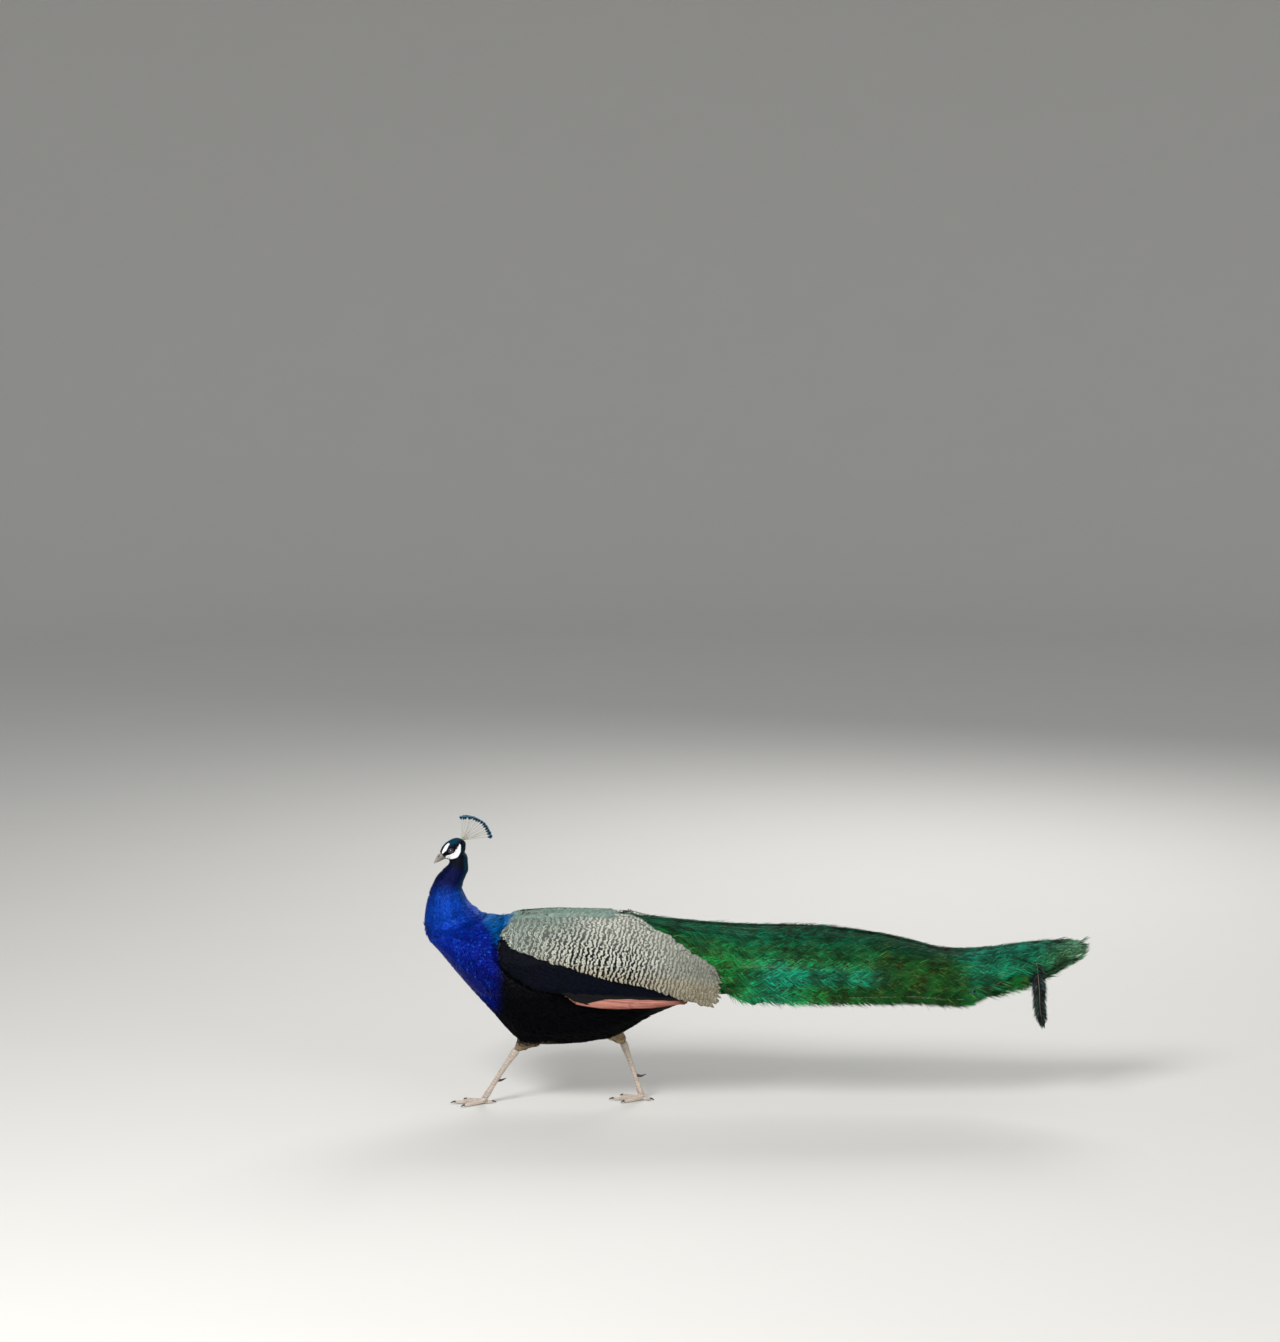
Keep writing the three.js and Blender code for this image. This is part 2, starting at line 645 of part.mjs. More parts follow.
const billCleared = joined([upperBillWhole, lowerBillWhole]);
const mirrored = (shape) => solid(geometryOf(shape).applyMatrix4(new THREE.Matrix4().makeScale(1, -1, 1)));
const wings = leftWing();
const wingRoom = joined([wings.room, mirrored(wings.room)]);
const flesh = joined([trunkWhole, neckWhole, skullWhole]);
const headWhole = flesh.intersect(above(headCut));
const crest = crestFan();

place("head", headWhole.subtract(joined([eyes.left.socket, eyes.right.socket, billCleared])), finishes.navy);
place("eye_left", eyes.left.ball, finishes.eye);
place("eye_right", eyes.right.ball, finishes.eye);
place("crest", crest.subtract(headWhole), finishes.train);
place("bill_upper", upperBillWhole, finishes.horn);
place("bill_lower", lowerBillWhole.subtract(upperBillWhole), finishes.horn);
place("neck_upper", flesh.intersect(below(headCut)).intersect(above(neckCut)), finishes.blue);
place("neck_lower", flesh.intersect(below(neckCut)).intersect(above(breastCut)), finishes.blue);
place("trunk", flesh.intersect(below(breastCut)), finishes.belly);

const rows = { coverts: finishes.barred, secondaries: finishes.dark, primaries: finishes.chestnut };
for (const [row, material] of Object.entries(rows)) {
  place(`wing_left_${row}`, wings[row], material);
  place(`wing_right_${row}`, mirrored(wings[row]), material);
}

const train = trainWhole().subtract(trunkCleared).subtract(wingRoom);
const lengths = { front: [-900, TRAIN_CUTS[0]], middle: TRAIN_CUTS, rear: [TRAIN_CUTS[1], 900] };
for (const [name, [start, end]] of Object.entries(lengths)) {
  const slab = block([start + GAP / 2, -400, 0], [end - GAP / 2, 400, 700]);
  place(`train_${name}`, train.intersect(slab), finishes.train);
}
const trainCleared = trainWhole(GAP);
place("train_hanging_plume", hangingPlume.subtract(trainCleared), finishes.dark);
place("tail", tailFan().subtract(trunkCleared).subtract(wingRoom).subtract(trainCleared), finishes.tail);

for (const [side, leg] of Object.entries(legs)) {
  const hockCut = cutAt(leg.hock[0], leg.hock[1] - 6, leg === legs.left ? 38 : -26);
  const ankleCut = cutAt(0, ANKLE_CUT_HEIGHT, 0);
  const whole = joined([thighSolid(leg), shankSolid(leg), ...TOES.map((toe) => toeSolid(leg, toe))]);
  const thigh = whole.intersect(above(hockCut)).subtract(trunkCleared).subtract(wingRoom);
  place(`thigh_${side}`, thigh, finishes.belly);
  place(`shank_${side}`, whole.intersect(below(hockCut)).intersect(above(ankleCut)), finishes.leg);
  place(`foot_${side}`, whole.intersect(below(ankleCut)).intersect(above(floorCut)), finishes.leg);
  place(`spur_${side}`, spurSolid(leg).subtract(shankSolid(leg, GAP)), finishes.claw);
  TOES.forEach((toe, i) => {
    place(`claw_${side}_${i + 1}`, clawSolid(leg, toe).subtract(toeSolid(leg, toe, GAP)), finishes.claw);
  });
}

// The group stands centred over the origin.
const extent = new THREE.Box3().setFromObject(bird);
const centre = extent.getCenter(new THREE.Vector3());
bird.position.set(-centre.x, -centre.y, -extent.min.z);

export default bird;
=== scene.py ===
"""A walking peacock at life size: one skin, feather vanes over it, horn, eyes, legs and a plain stage.

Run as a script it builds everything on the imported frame. It is laid out as an add-on: the sizes and
colours are properties, and each piece or group of like pieces has an operator of its own.
"""

import math

import bmesh
import bpy
import numpy as np
from bpy.props import FloatProperty, FloatVectorProperty, IntProperty, PointerProperty
from mathutils import Matrix, Vector
from mathutils.bvhtree import BVHTree


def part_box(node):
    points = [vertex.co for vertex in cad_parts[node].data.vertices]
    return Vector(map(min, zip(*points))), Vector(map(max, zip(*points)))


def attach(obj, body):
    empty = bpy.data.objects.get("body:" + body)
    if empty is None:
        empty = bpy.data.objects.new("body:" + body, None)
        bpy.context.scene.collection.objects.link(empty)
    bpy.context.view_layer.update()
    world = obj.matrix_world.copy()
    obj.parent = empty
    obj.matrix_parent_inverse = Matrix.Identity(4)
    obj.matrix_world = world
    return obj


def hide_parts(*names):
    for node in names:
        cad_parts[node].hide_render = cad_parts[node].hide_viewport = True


bl_info = {
    "name": "Peacock",
    "version": (1, 0, 0),
    "blender": (4, 5, 0),
    "location": "3D View > Sidebar > Peacock",
    "description": "Builds a life-size walking peacock with feathers of solid mesh",
    "category": "Add Mesh",
}

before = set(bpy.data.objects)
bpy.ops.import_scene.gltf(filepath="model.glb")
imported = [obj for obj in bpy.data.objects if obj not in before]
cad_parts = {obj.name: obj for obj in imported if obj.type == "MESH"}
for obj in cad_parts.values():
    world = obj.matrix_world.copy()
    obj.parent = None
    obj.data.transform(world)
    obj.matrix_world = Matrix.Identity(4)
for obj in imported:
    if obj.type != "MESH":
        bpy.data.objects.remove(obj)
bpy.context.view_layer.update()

SIDES = {"left": -1.0, "right": 1.0}
WING_ROWS = ("coverts", "secondaries", "primaries")
FLESH = ("head", "neck_upper", "neck_lower", "trunk", "thigh_left", "thigh_right")
WINGS = tuple(f"wing_{side}_{row}" for side in SIDES for row in WING_ROWS)
TRAIN = ("train_front", "train_middle", "train_rear")
# How wide one feather's patch is on the map that its colours are baked to.
PATCH = 0.003
# The starts of the random draws, one for each kind of piece.
SEEDS = {"body coat": 11, "wings": 23, "train": 37, "tail and crest": 53}
FULL_TURN = 2 * math.pi


# ---------------------------------------------------------------- settings


def shade(red, green, blue):
    """A colour from its 0 to 255 display values, as the linear values a shader takes."""
    share = np.array([red, green, blue]) / 255
    return tuple(float(c) for c in np.where(share < 0.04045, share / 12.92, ((share + 0.055) / 1.055) ** 2.4))


def length_setting(name, description, default):
    """A length in metres."""
    return FloatProperty(name=name, description=description, default=default, unit="LENGTH", precision=4)


def angle_setting(name, description, degrees):
    """An angle, kept in radians and shown in degrees."""
    return FloatProperty(name=name, description=description, default=math.radians(degrees), subtype="ANGLE")


def colour_setting(name, description, red, green, blue):
    """A colour, given as display values."""
    kind = {"subtype": "COLOR", "min": 0, "max": 1, "default": shade(red, green, blue)}
    return FloatVectorProperty(name=name, description=description, **kind)


class PeacockSizes(bpy.types.PropertyGroup):
    """Sizes that shape the skin and its feathers."""

    head_turn: angle_setting("Head turn", "How far the head is turned to the bird's left", 20)
    head_pitch: angle_setting("Head pitch", "How far the bill points below level", 27)
    skin_voxel: length_setting("Skin voxel", "Spacing of the skin's own mesh", 0.004)
    face_depth: length_setting("Face coat depth", "Depth of the skin inside the solids on the face", 0.0007)
    neck_depth: length_setting("Neck coat depth", "Depth of the skin inside the solids on the neck", 0.0045)
    body_depth: length_setting("Body coat depth", "Depth of the skin inside the solids on the body", 0.0075)
    crest_length: length_setting("Crest length", "Length of a crest feather from its root", 0.062)
    crest_feathers: IntProperty(name="Crest feathers", description="Feathers in the crest", default=30, min=5)
    eye_radius: length_setting("Eye radius", "Radius of the eyeball", 0.007)
    bar_spacing: length_setting("Bar spacing", "Distance between dark bars on the wing shield", 0.0125)
    plume_count: IntProperty(name="Train plumes", description="Plumes in each part", default=84, min=8)
    barb_spacing: length_setting("Barb spacing", "Distance between barbs along a train plume", 0.0036)
    barb_length: length_setting("Barb length", "Length of a barb at the middle of a train plume", 0.036)


class PeacockColours(bpy.types.PropertyGroup):
    """Colours of the plumage, the bare skin and the horn."""

    face_white: colour_setting("Face white", "Bare skin above and below the eye", 236, 240, 238)
    head_dark: colour_setting("Head", "Short feathers of the lores, chin and cheek", 3, 7, 24)
    crown_teal: colour_setting("Crown", "Short feathers of the crown and nape", 6, 74, 98)
    navy: colour_setting("Upper neck", "Feathers of the upper neck", 0, 10, 66)
    # Painted highlight: the lighter blue on the middle of the neck stands in for the sheen that light raises
    # there.
    neck_painted_highlight: colour_setting("Middle neck", "Brightest feathers of the neck", 0, 66, 178)
    cobalt: colour_setting("Neck", "Feathers of the lower neck", 0, 38, 160)
    royal: colour_setting("Breast", "Feathers of the breast", 0, 22, 134)
    # Painted shade: the lower breast's deep blue is the breast's blue darkened where shadow falls under the
    # body.
    breast_painted_shade: colour_setting("Lower breast", "Feathers of the lower breast", 0, 3, 78)
    # Painted glints: neck feathers picked at random are lightened to stand in for highlights on the neck's
    # sheen.
    neck_painted_glint: colour_setting("Neck glint", "Lighter feathers scattered on the neck", 6, 86, 196)
    mantle_teal: colour_setting("Neck base", "Feathers where the neck meets the back", 0, 108, 184)
    mantle_grey: colour_setting("Mantle", "Feathers of the back between the wings", 138, 160, 146)
    mantle_gold: colour_setting("Rump", "Scale-like feathers at the root of the train", 74, 112, 36)
    belly_black: colour_setting("Belly", "Loose feathers of the belly and flank", 3, 4, 8)
    thigh_buff: colour_setting("Thigh", "Feathers of the thigh", 168, 146, 116)
    vent_brown: colour_setting("Vent", "Down under the tail", 70, 62, 54)
    shield_cream: colour_setting("Wing shield", "Ground colour of the barred wing feathers", 212, 214, 198)
    shield_bar: colour_setting("Wing bars", "Bars of the wing feathers", 9, 9, 12)
    shield_grey: colour_setting("Wing edge", "Finely marked feathers at the end of the shield", 164, 167, 152)
    secondary_black: colour_setting("Secondaries", "Long feathers under the shield", 1, 3, 12)
    chestnut: colour_setting("Primaries", "Long feathers at the wing's lower edge", 206, 140, 122)
    train_dark: colour_setting("Train, dark", "Upper side of the train", 2, 96, 66)
    train_green: colour_setting("Train, green", "Sides of the train", 6, 112, 46)
    train_teal: colour_setting("Train, teal", "Streaks low on the train", 6, 154, 122)
    train_gold: colour_setting("Train, gold", "Roots of the barbs", 96, 116, 40)
    train_brown: colour_setting("Train lining", "Dull underside of the plumes", 84, 74, 60)
    tail_brown: colour_setting("Tail", "Stiff feathers under the train", 104, 88, 70)
    crest_blue: colour_setting("Crest tips", "Fan at the end of each crest feather", 3, 18, 44)
    crest_edge: colour_setting("Crest edge", "Outer edge of the crest fans", 120, 176, 196)
    shaft_pale: colour_setting("Shafts", "Bare shafts of plumes and crest", 196, 186, 160)
    leg_grey: colour_setting("Legs", "Scaly skin of the legs and feet", 202, 188, 174)
    horn_grey: colour_setting("Bill", "Horn of the bill", 122, 116, 106)
    claw_dark: colour_setting("Claws", "Horn of the claws and spurs", 58, 50, 44)
    iris_brown: colour_setting("Iris", "Ring round the pupil", 62, 34, 18)


# Lesser tones: edges of feathers, a painted highlight on the bill and painted shade in its nostrils, lids and
# the pale ends of plumes.
MANTLE_EDGE = shade(70, 92, 88)
SHIELD_EDGE = shade(70, 64, 56)
SHIELD_WARM = shade(190, 174, 140)
SECONDARY_EDGE = shade(6, 12, 24)
PRIMARY_EDGE = shade(96, 40, 34)
COVERT_EDGE = shade(8, 16, 34)
TRAIN_BRIGHT = shade(4, 138, 62)
TRAIN_TIP = shade(104, 150, 118)
SCALE_EDGE = shade(6, 26, 14)
HANGING_DARK = shade(10, 16, 20)
HANGING_FRINGE = shade(62, 84, 74)
TAIL_EDGE = shade(60, 50, 40)
TAIL_BAR = shade(40, 34, 28)
BILL_PAINTED_HIGHLIGHT = shade(158, 152, 140)
NOSTRIL_DARK = shade(14, 12, 12)
PUPIL_BLACK = (0.002, 0.002, 0.003)
EYE_RIM = shade(24, 26, 34)
LID_GREY = shade(34, 38, 52)
SCUTE_SEAM = shade(96, 84, 76)
# An eye-spot's rings from its heart out: share of its radius and colour; the train's green lies round them.
EYE_SPOT = [
    (0.0, shade(2, 20, 44)),
    (0.3, shade(4, 30, 56)),
    (0.42, shade(4, 92, 96)),
    (0.62, shade(8, 112, 96)),
    (0.74, shade(72, 76, 30)),
    (0.92, shade(60, 96, 36)),
]


def sizes():
    """The scene's peacock sizes."""
    return bpy.context.scene.peacock_sizes


def colours():
    """The scene's peacock colours."""
    return bpy.context.scene.peacock_colours


# ---------------------------------------------------------------- arrays and meshes


def unit(vectors):
    """Rows of vectors at length one."""
    return vectors / np.maximum(np.linalg.norm(vectors, axis=-1, keepdims=True), 1e-12)


def fade(value, low, high):
    """0 below low, 1 above high and a soft rise between; low may be above high."""
    share = np.clip((value - low) / (high - low), 0, 1)
    return share * share * (3 - 2 * share)


def hump(value, middle, width):
    """1 at the middle, falling away smoothly within about the width on both sides."""
    return np.exp(-(((value - middle) / width) ** 2))


def blend(a, b, share):
    """Rows of a turning into b, by a share per row."""
    return np.asarray(a) * (1 - share[:, None]) + np.asarray(b) * share[:, None]


def rows_of(values, count):
    """The same values in each of count rows."""
    return np.tile(values, (count, 1))


def full_turn(steps):
    """Angles of one full turn in equal steps."""
    return np.linspace(0, FULL_TURN, steps, endpoint=False)


def flat_on(vectors, normals):
    """The vectors laid flat on the surface that has these normals, at length one."""
    return unit(vectors - normals * (vectors * normals).sum(1, keepdims=True))


def run_along(path):
    """The distance along a path at each of its points."""
    return np.concatenate([[0], np.cumsum(np.linalg.norm(np.diff(path, axis=0), axis=1))])


def rows_at(wanted, run, rows):
    """The rows of a table read at the wanted distances."""
    rows = np.asarray(rows)
    return np.stack([np.interp(wanted, run, rows[:, axis]) for axis in range(rows.shape[1])], 1)


def share_between(values, low, high):
    """How far each value is on the way from low to high."""
    return (values - low) / (high - low)


def in_box(places, low, high, margin):
    """Which places lie in a box with a margin round it."""
    return np.all((places > np.array(low) - margin) & (places < np.array(high) + margin), axis=1)


def curve_through(points, count):
    """A smooth curve through the points, as count rows spaced evenly along it."""
    knots = np.asarray(points, float)
    ends = np.vstack([2 * knots[0] - knots[1], knots, 2 * knots[-1] - knots[-2]])
    fine = []
    steps = np.linspace(0, 1, 24, endpoint=False)[:, None]
    for a, b, c, d in zip(ends, ends[1:], ends[2:], ends[3:], strict=False):
        bend = 2 * b + (c - a) * steps + (2 * a - 5 * b + 4 * c - d) * steps**2
        fine.append((bend + (3 * b - a - 3 * c + d) * steps**3) / 2)
    path = np.vstack([*fine, knots[-1:]])
    run = run_along(path)
    return rows_at(np.linspace(0, run[-1], count), run, path)


def cad_arrays(*names):
    """Vertices and triangles of these CAD nodes, joined."""
    places, corners, start = [], [], 0
    for name in names:
        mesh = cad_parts[name].data
        mesh.calc_loop_triangles()
        co = np.empty(len(mesh.vertices) * 3)
        mesh.vertices.foreach_get("co", co)
        tri = np.empty(len(mesh.loop_triangles) * 3, np.int32)
        mesh.loop_triangles.foreach_get("vertices", tri)
        places.append(co.reshape(-1, 3))
        corners.append(tri.reshape(-1, 3) + start)
        start += len(mesh.vertices)
    return np.vstack(places), np.vstack(corners)


def plan_of(mask):
    """A mask as the first of three values that a mesh carries."""
    return np.column_stack([mask, mask * 0, mask * 0])


def box_centre(name):
    """The middle of a CAD node's box."""
    low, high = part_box(name)
    return np.array((low + high) / 2)


class Surface:
    """A surface of triangles that feathers root on or points are dropped onto."""

    def __init__(self, points, triangles):
        self.points = points
        self.triangles = triangles
        corners = points[triangles]
        cross = np.cross(corners[:, 1] - corners[:, 0], corners[:, 2] - corners[:, 0])
        self.areas = np.linalg.norm(cross, axis=1) / 2
        normals = np.zeros_like(points)
        for corner in range(3):
            np.add.at(normals, triangles[:, corner], cross)
        self.normals = unit(normals)
        self.tree = BVHTree.FromPolygons(points.tolist(), triangles.tolist(), all_triangles=True)

    def draw(self, rng, count, weight):
        """Random places on the surface with their normals, more where the weight per triangle is high."""
        odds = self.areas * weight
        picked = rng.choice(len(odds), count, p=odds / odds.sum())
        share = rng.random((count, 2))
        folded = share.sum(1) > 1
        share[folded] = 1 - share[folded]
        parts = np.column_stack([1 - share.sum(1), share])[:, :, None]
        corners = self.triangles[picked]
        return (self.points[corners] * parts).sum(1), unit((self.normals[corners] * parts).sum(1))

    def distance(self, places):
        """How far each place is from the surface."""
        return np.array([self.tree.find_nearest(Vector(p))[3] for p in places])

    def cast(self, start, direction):
        """Where a ray meets the surface, and its normal there, or None."""
        hit, normal, _, _ = self.tree.ray_cast(Vector(start), Vector(direction))
        return None if hit is None else (np.array(hit), np.array(normal))


def cad_surface(*names):
    """The surface of these CAD nodes."""
    return Surface(*cad_arrays(*names))


def spread_out(places, gaps):
    """Picks places, in their order, that keep their own gap from all those picked before."""
    cell = float(gaps.max())
    keys = np.floor(places / cell).astype(int)
    near = [(i, j, k) for i in (-1, 0, 1) for j in (-1, 0, 1) for k in (-1, 0, 1)]
    filled, picked = {}, []
    candidates = zip(keys.tolist(), places.tolist(), gaps.tolist(), strict=True)
    for index, ((u, v, w), (x, y, z), gap) in enumerate(candidates):
        taken = (place for i, j, k in near for place in filled.get((u + i, v + j, w + k), ()))
        if all((a - x) ** 2 + (b - y) ** 2 + (c - z) ** 2 >= gap * gap for a, b, c in taken):
            filled.setdefault((u, v, w), []).append((x, y, z))
            picked.append(index)
    return np.array(picked, int)


def new_object(name, data):
    """An object in the scene that shows this mesh, light or camera."""
    made = bpy.data.objects.new(name, data)
    bpy.context.scene.collection.objects.link(made)
    return made


def mesh_piece(name, points, faces, material, slot, tint=None, vectors=None, patch_map=None):
    """A smooth-shaded mesh riding on the body, with its colours, its named vectors and its bake map."""
    mesh = bpy.data.meshes.new(name)
    mesh.from_pydata(np.asarray(points).tolist(), [], np.asarray(faces).tolist() if len(faces) else [])
    mesh.polygons.foreach_set("use_smooth", np.ones(len(mesh.polygons), bool))
    if tint is not None:
        layer = mesh.color_attributes.new("tint", "FLOAT_COLOR", "POINT")
        rgba = np.column_stack([tint, np.ones(len(tint))]).astype(np.float32)
        layer.data.foreach_set("color", rgba.ravel())
    for title, values in (vectors or {}).items():
        layer = mesh.attributes.new(title, "FLOAT_VECTOR", "POINT")
        layer.data.foreach_set("vector", np.asarray(values, np.float32).ravel())
    if patch_map is not None:
        corner = np.empty(len(mesh.loops), np.int32)
        mesh.loops.foreach_get("vertex_index", corner)
        layer = mesh.uv_layers.new(name="OFBake")
        layer.data.foreach_set("uv", patch_map[corner].astype(np.float32).ravel())
    mesh.materials.append(material)
    mesh.update()
    piece = new_object(name, mesh)
    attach(piece, "root")
    return piece


def remeshed(points, triangles, voxel):
    """One closed surface of even quads round the given solids, as points and faces."""
    mesh = bpy.data.meshes.new("remesh_source")
    mesh.from_pydata(points.tolist(), [], triangles.tolist())
    source = new_object("remesh_source", mesh)
    modifier = source.modifiers.new("Remesh", "REMESH")
    modifier.mode = "VOXEL"
    modifier.voxel_size = voxel
    graph = bpy.context.evaluated_depsgraph_get()
    made = source.evaluated_get(graph).to_mesh()
    co = np.empty(len(made.vertices) * 3)
    made.vertices.foreach_get("co", co)
    quads = np.array([list(p.vertices) for p in made.polygons])
    bpy.data.objects.remove(source)
    bpy.data.meshes.remove(mesh)
    return co.reshape(-1, 3), quads


def face_edges(faces):
    """Each edge of equal-sided faces, once for each face that it bounds."""
    faces = np.asarray(faces)
    return np.vstack([faces[:, [i, (i + 1) % faces.shape[1]]] for i in range(faces.shape[1])])


def relaxed(points, edges, rounds, amount=0.5, only=None):
    """The points softened a few times over, each time in and out again so that thin parts keep their size."""
    share = np.full(len(points), amount) if only is None else amount * only
    counts = np.maximum(np.bincount(edges.ravel(), minlength=len(points)), 1)
    for step in range(rounds * 2):
        total = np.zeros_like(points)
        np.add.at(total, edges[:, 0], points[edges[:, 1]])
        np.add.at(total, edges[:, 1], points[edges[:, 0]])
        pull = share if step % 2 == 0 else -share * 1.03
        points = points + (total / counts[:, None] - points) * pull[:, None]
    return points


def split_quads(faces):
    """Triangles from quads."""
    faces = np.asarray(faces)
    return np.vstack([faces[:, [0, 1, 2]], faces[:, [0, 2, 3]]])


# ---------------------------------------------------------------- shader groups


def feed(tree, socket, value):
    """Links a socket to another node's output, or sets its value; None leaves it alone."""
    if isinstance(value, bpy.types.NodeSocket):
        tree.links.new(value, socket)
    elif value is not None:
        socket.default_value = value


def put(tree, kind, inputs=(), **options):
    """Adds a node, sets its options, and feeds its inputs in order."""
    made = tree.nodes.new(kind)
    for option, value in options.items():
        setattr(made, option, value)
    for socket, value in zip(made.inputs, inputs, strict=False):
        feed(tree, socket, value)
    return made


def maths(tree, operation, a, b=0.5):
    """The output of a math node."""
    return put(tree, "ShaderNodeMath", [a, b], operation=operation).outputs[0]


def times(tree, a, b):
    """One value times another."""
    return maths(tree, "MULTIPLY", a, b)


def mixed(tree, factor, a, b, mode="MIX"):
    """A colour between a and b."""
    made = put(tree, "ShaderNodeMix", data_type="RGBA", blend_type=mode, clamp_factor=True)
    for socket, value in ((made.inputs[0], factor), (made.inputs[6], a), (made.inputs[7], b)):
        feed(tree, socket, value)
    return made.outputs[2]


def ramped(tree, value, low, high, start=0.0, end=1.0):
    """A value that rises softly from start to end as another goes from low to high."""
    inputs = [value, low, high, start, end]
    return put(tree, "ShaderNodeMapRange", inputs, interpolation_type="SMOOTHSTEP").outputs[0]


def noise(tree, place, scale, detail=2.0, roughness=0.55):
    """A noise value at a place."""
    return put(tree, "ShaderNodeTexNoise", [place, None, scale, detail, roughness]).outputs[0]


def split(tree, vector):
    """The three values of a vector."""
    return put(tree, "ShaderNodeSeparateXYZ", [vector]).outputs


def own_place(tree):
    """Coordinates that stay with the piece."""
    return put(tree, "ShaderNodeTexCoord").outputs["Object"]


def solid(colour):
    """A colour with full alpha."""
    return (*colour, 1.0)


def shader_group(name, inputs, outputs, build):
    """A named group of shader nodes, built once; build fills it from its inputs and returns its outputs."""
    if name in bpy.data.node_groups:
        return bpy.data.node_groups[name]
    tree = bpy.data.node_groups.new(name, "ShaderNodeTree")
    for title, default in inputs.items():
        kind = "Vector" if default is None else "Color" if isinstance(default, tuple) else "Float"
        socket = tree.interface.new_socket(title, in_out="INPUT", socket_type=f"NodeSocket{kind}")
        if default is not None:
            socket.default_value = default
    for title, kind in outputs.items():
        tree.interface.new_socket(title, in_out="OUTPUT", socket_type=f"NodeSocket{kind}")
    source = tree.nodes.new("NodeGroupInput")
    sink = tree.nodes.new("NodeGroupOutput")
    for socket, made in zip(sink.inputs, build(tree, source.outputs), strict=False):
        tree.links.new(made, socket)
    return tree


def barbs_group():
    """Relief of a feather: fine slanting barbs and a raised shaft, from its across, along and chance."""

    def build(tree, given):
        parts = split(tree, given["Vane"])
        aside = maths(tree, "ABSOLUTE", parts[0])
        slant = times(tree, aside, given["Slant"])
        phase = times(tree, maths(tree, "SUBTRACT", parts[1], slant), given["Barbs"])
        uneven = times(tree, noise(tree, own_place(tree), 240.0), 1.6)
        turn = times(tree, maths(tree, "ADD", phase, uneven), FULL_TURN)
        sine = maths(tree, "SINE", turn)
        wave = put(tree, "ShaderNodeMath", [sine, 0.5, 0.5], operation="MULTIPLY_ADD").outputs[0]
        shaft = ramped(tree, aside, 0.02, 0.11, 1.0, 0.0)
        return maths(tree, "ADD", times(tree, wave, 0.4), shaft), wave

    inputs = {"Vane": None, "Barbs": 14.0, "Slant": 0.35}
    return shader_group("Barbs", inputs, {"Height": "Float", "Barb": "Float"}, build)


def vane_colour_group():
    """A feather's colour: its own tint, lighter or darker by chance, with its edge and tip in another."""

    def build(tree, given):
        parts = split(tree, given["Vane"])
        aside = maths(tree, "ABSOLUTE", parts[0])
        side = ramped(tree, aside, 0.62, 0.98)
        tip = ramped(tree, parts[1], 0.7, 0.96)
        edge = times(tree, maths(tree, "MAXIMUM", side, tip), given["Edge amount"])
        patchy = noise(tree, own_place(tree), 38.0, 3.0)
        chance = maths(tree, "ADD", parts[2], maths(tree, "SUBTRACT", patchy, 0.5))
        lift = ramped(tree, chance, 0.0, 1.0, 1.0, 0.0)
        darker = mixed(tree, 1.0, given["Tint"], (0.45, 0.45, 0.5, 1.0), "MULTIPLY")
        spread = times(tree, lift, given["Variation"])
        varied = mixed(tree, spread, given["Tint"], darker)
        lined = times(tree, given["Barb"], 0.28)
        lined = mixed(tree, lined, varied, mixed(tree, 1.0, varied, (0.4, 0.4, 0.45, 1.0), "MULTIPLY"))
        return [mixed(tree, edge, lined, given["Edge"])]

    inputs = {"Tint": (0.5, 0.5, 0.5, 1), "Vane": None, "Barb": 0.0, "Edge": (0, 0, 0, 1)}
    inputs |= {"Edge amount": 0.0, "Variation": 0.5}
    return shader_group("Vane colour", inputs, {"Colour": "Color"}, build)


def bars_group():
    """Wavy dark bars across the lie of the feathers, with fine lines between where they crowd."""

    def build(tree, given):
        parts = split(tree, given["Plan"])
        vane = split(tree, given["Vane"])
        place = own_place(tree)
        wander = times(tree, noise(tree, place, 42.0, 3.0), given["Wander"])
        bowed = times(tree, maths(tree, "POWER", maths(tree, "ABSOLUTE", vane[0]), 2.0), -0.32)
        phase = maths(tree, "ADD", maths(tree, "ADD", parts[0], wander), bowed)
        wave = maths(tree, "SINE", times(tree, phase, FULL_TURN))
        ragged = times(tree, maths(tree, "SUBTRACT", noise(tree, place, 320.0), 0.5), 1.1)
        bars = ramped(tree, maths(tree, "ADD", wave, ragged), given["Thinness"], 0.25)
        bars = times(tree, bars, parts[1])
        fine = maths(tree, "SINE", times(tree, phase, 3 * FULL_TURN))
        lines = times(tree, ramped(tree, maths(tree, "ADD", fine, ragged), -0.3, 0.9), parts[2])
        mask = maths(tree, "MAXIMUM", bars, lines)
        return [mixed(tree, mask, given["Ground"], given["Bar"])]

    inputs = {"Ground": (0.8, 0.8, 0.7, 1), "Bar": (0, 0, 0, 1), "Plan": None, "Vane": None}
    inputs |= {"Wander": 1.7, "Thinness": -0.48}
    return shader_group("Wavy bars", inputs, {"Colour": "Color"}, build)


def mottle_group():
    """Uneven colour and a pebbled height for bare skin and horn."""

    def build(tree, given):
        place = own_place(tree)
        cloud = noise(tree, place, given["Scale"], 4.0)
        cells = put(tree, "ShaderNodeTexVoronoi", [place, None, given["Cells"]], feature="DISTANCE_TO_EDGE")
        seam = ramped(tree, cells.outputs["Distance"], 0.0, 0.12)
        dark = mixed(tree, 1.0, given["Colour"], (0.5, 0.47, 0.45, 1.0), "MULTIPLY")
        spread = times(tree, ramped(tree, cloud, 0.35, 0.7), given["Amount"])
        colour = mixed(tree, spread, given["Colour"], dark)
        seamed = times(tree, maths(tree, "SUBTRACT", 1.0, seam), given["Seams"])
        return mixed(tree, seamed, colour, dark), seam, cloud

    inputs = {"Colour": (0.5, 0.5, 0.5, 1), "Scale": 90.0, "Cells": 420.0, "Amount": 0.6, "Seams": 0.5}
    outputs = {"Colour": "Color", "Height": "Float", "Cloud": "Float"}
    return shader_group("Mottle", inputs, outputs, build)


# ---------------------------------------------------------------- materials


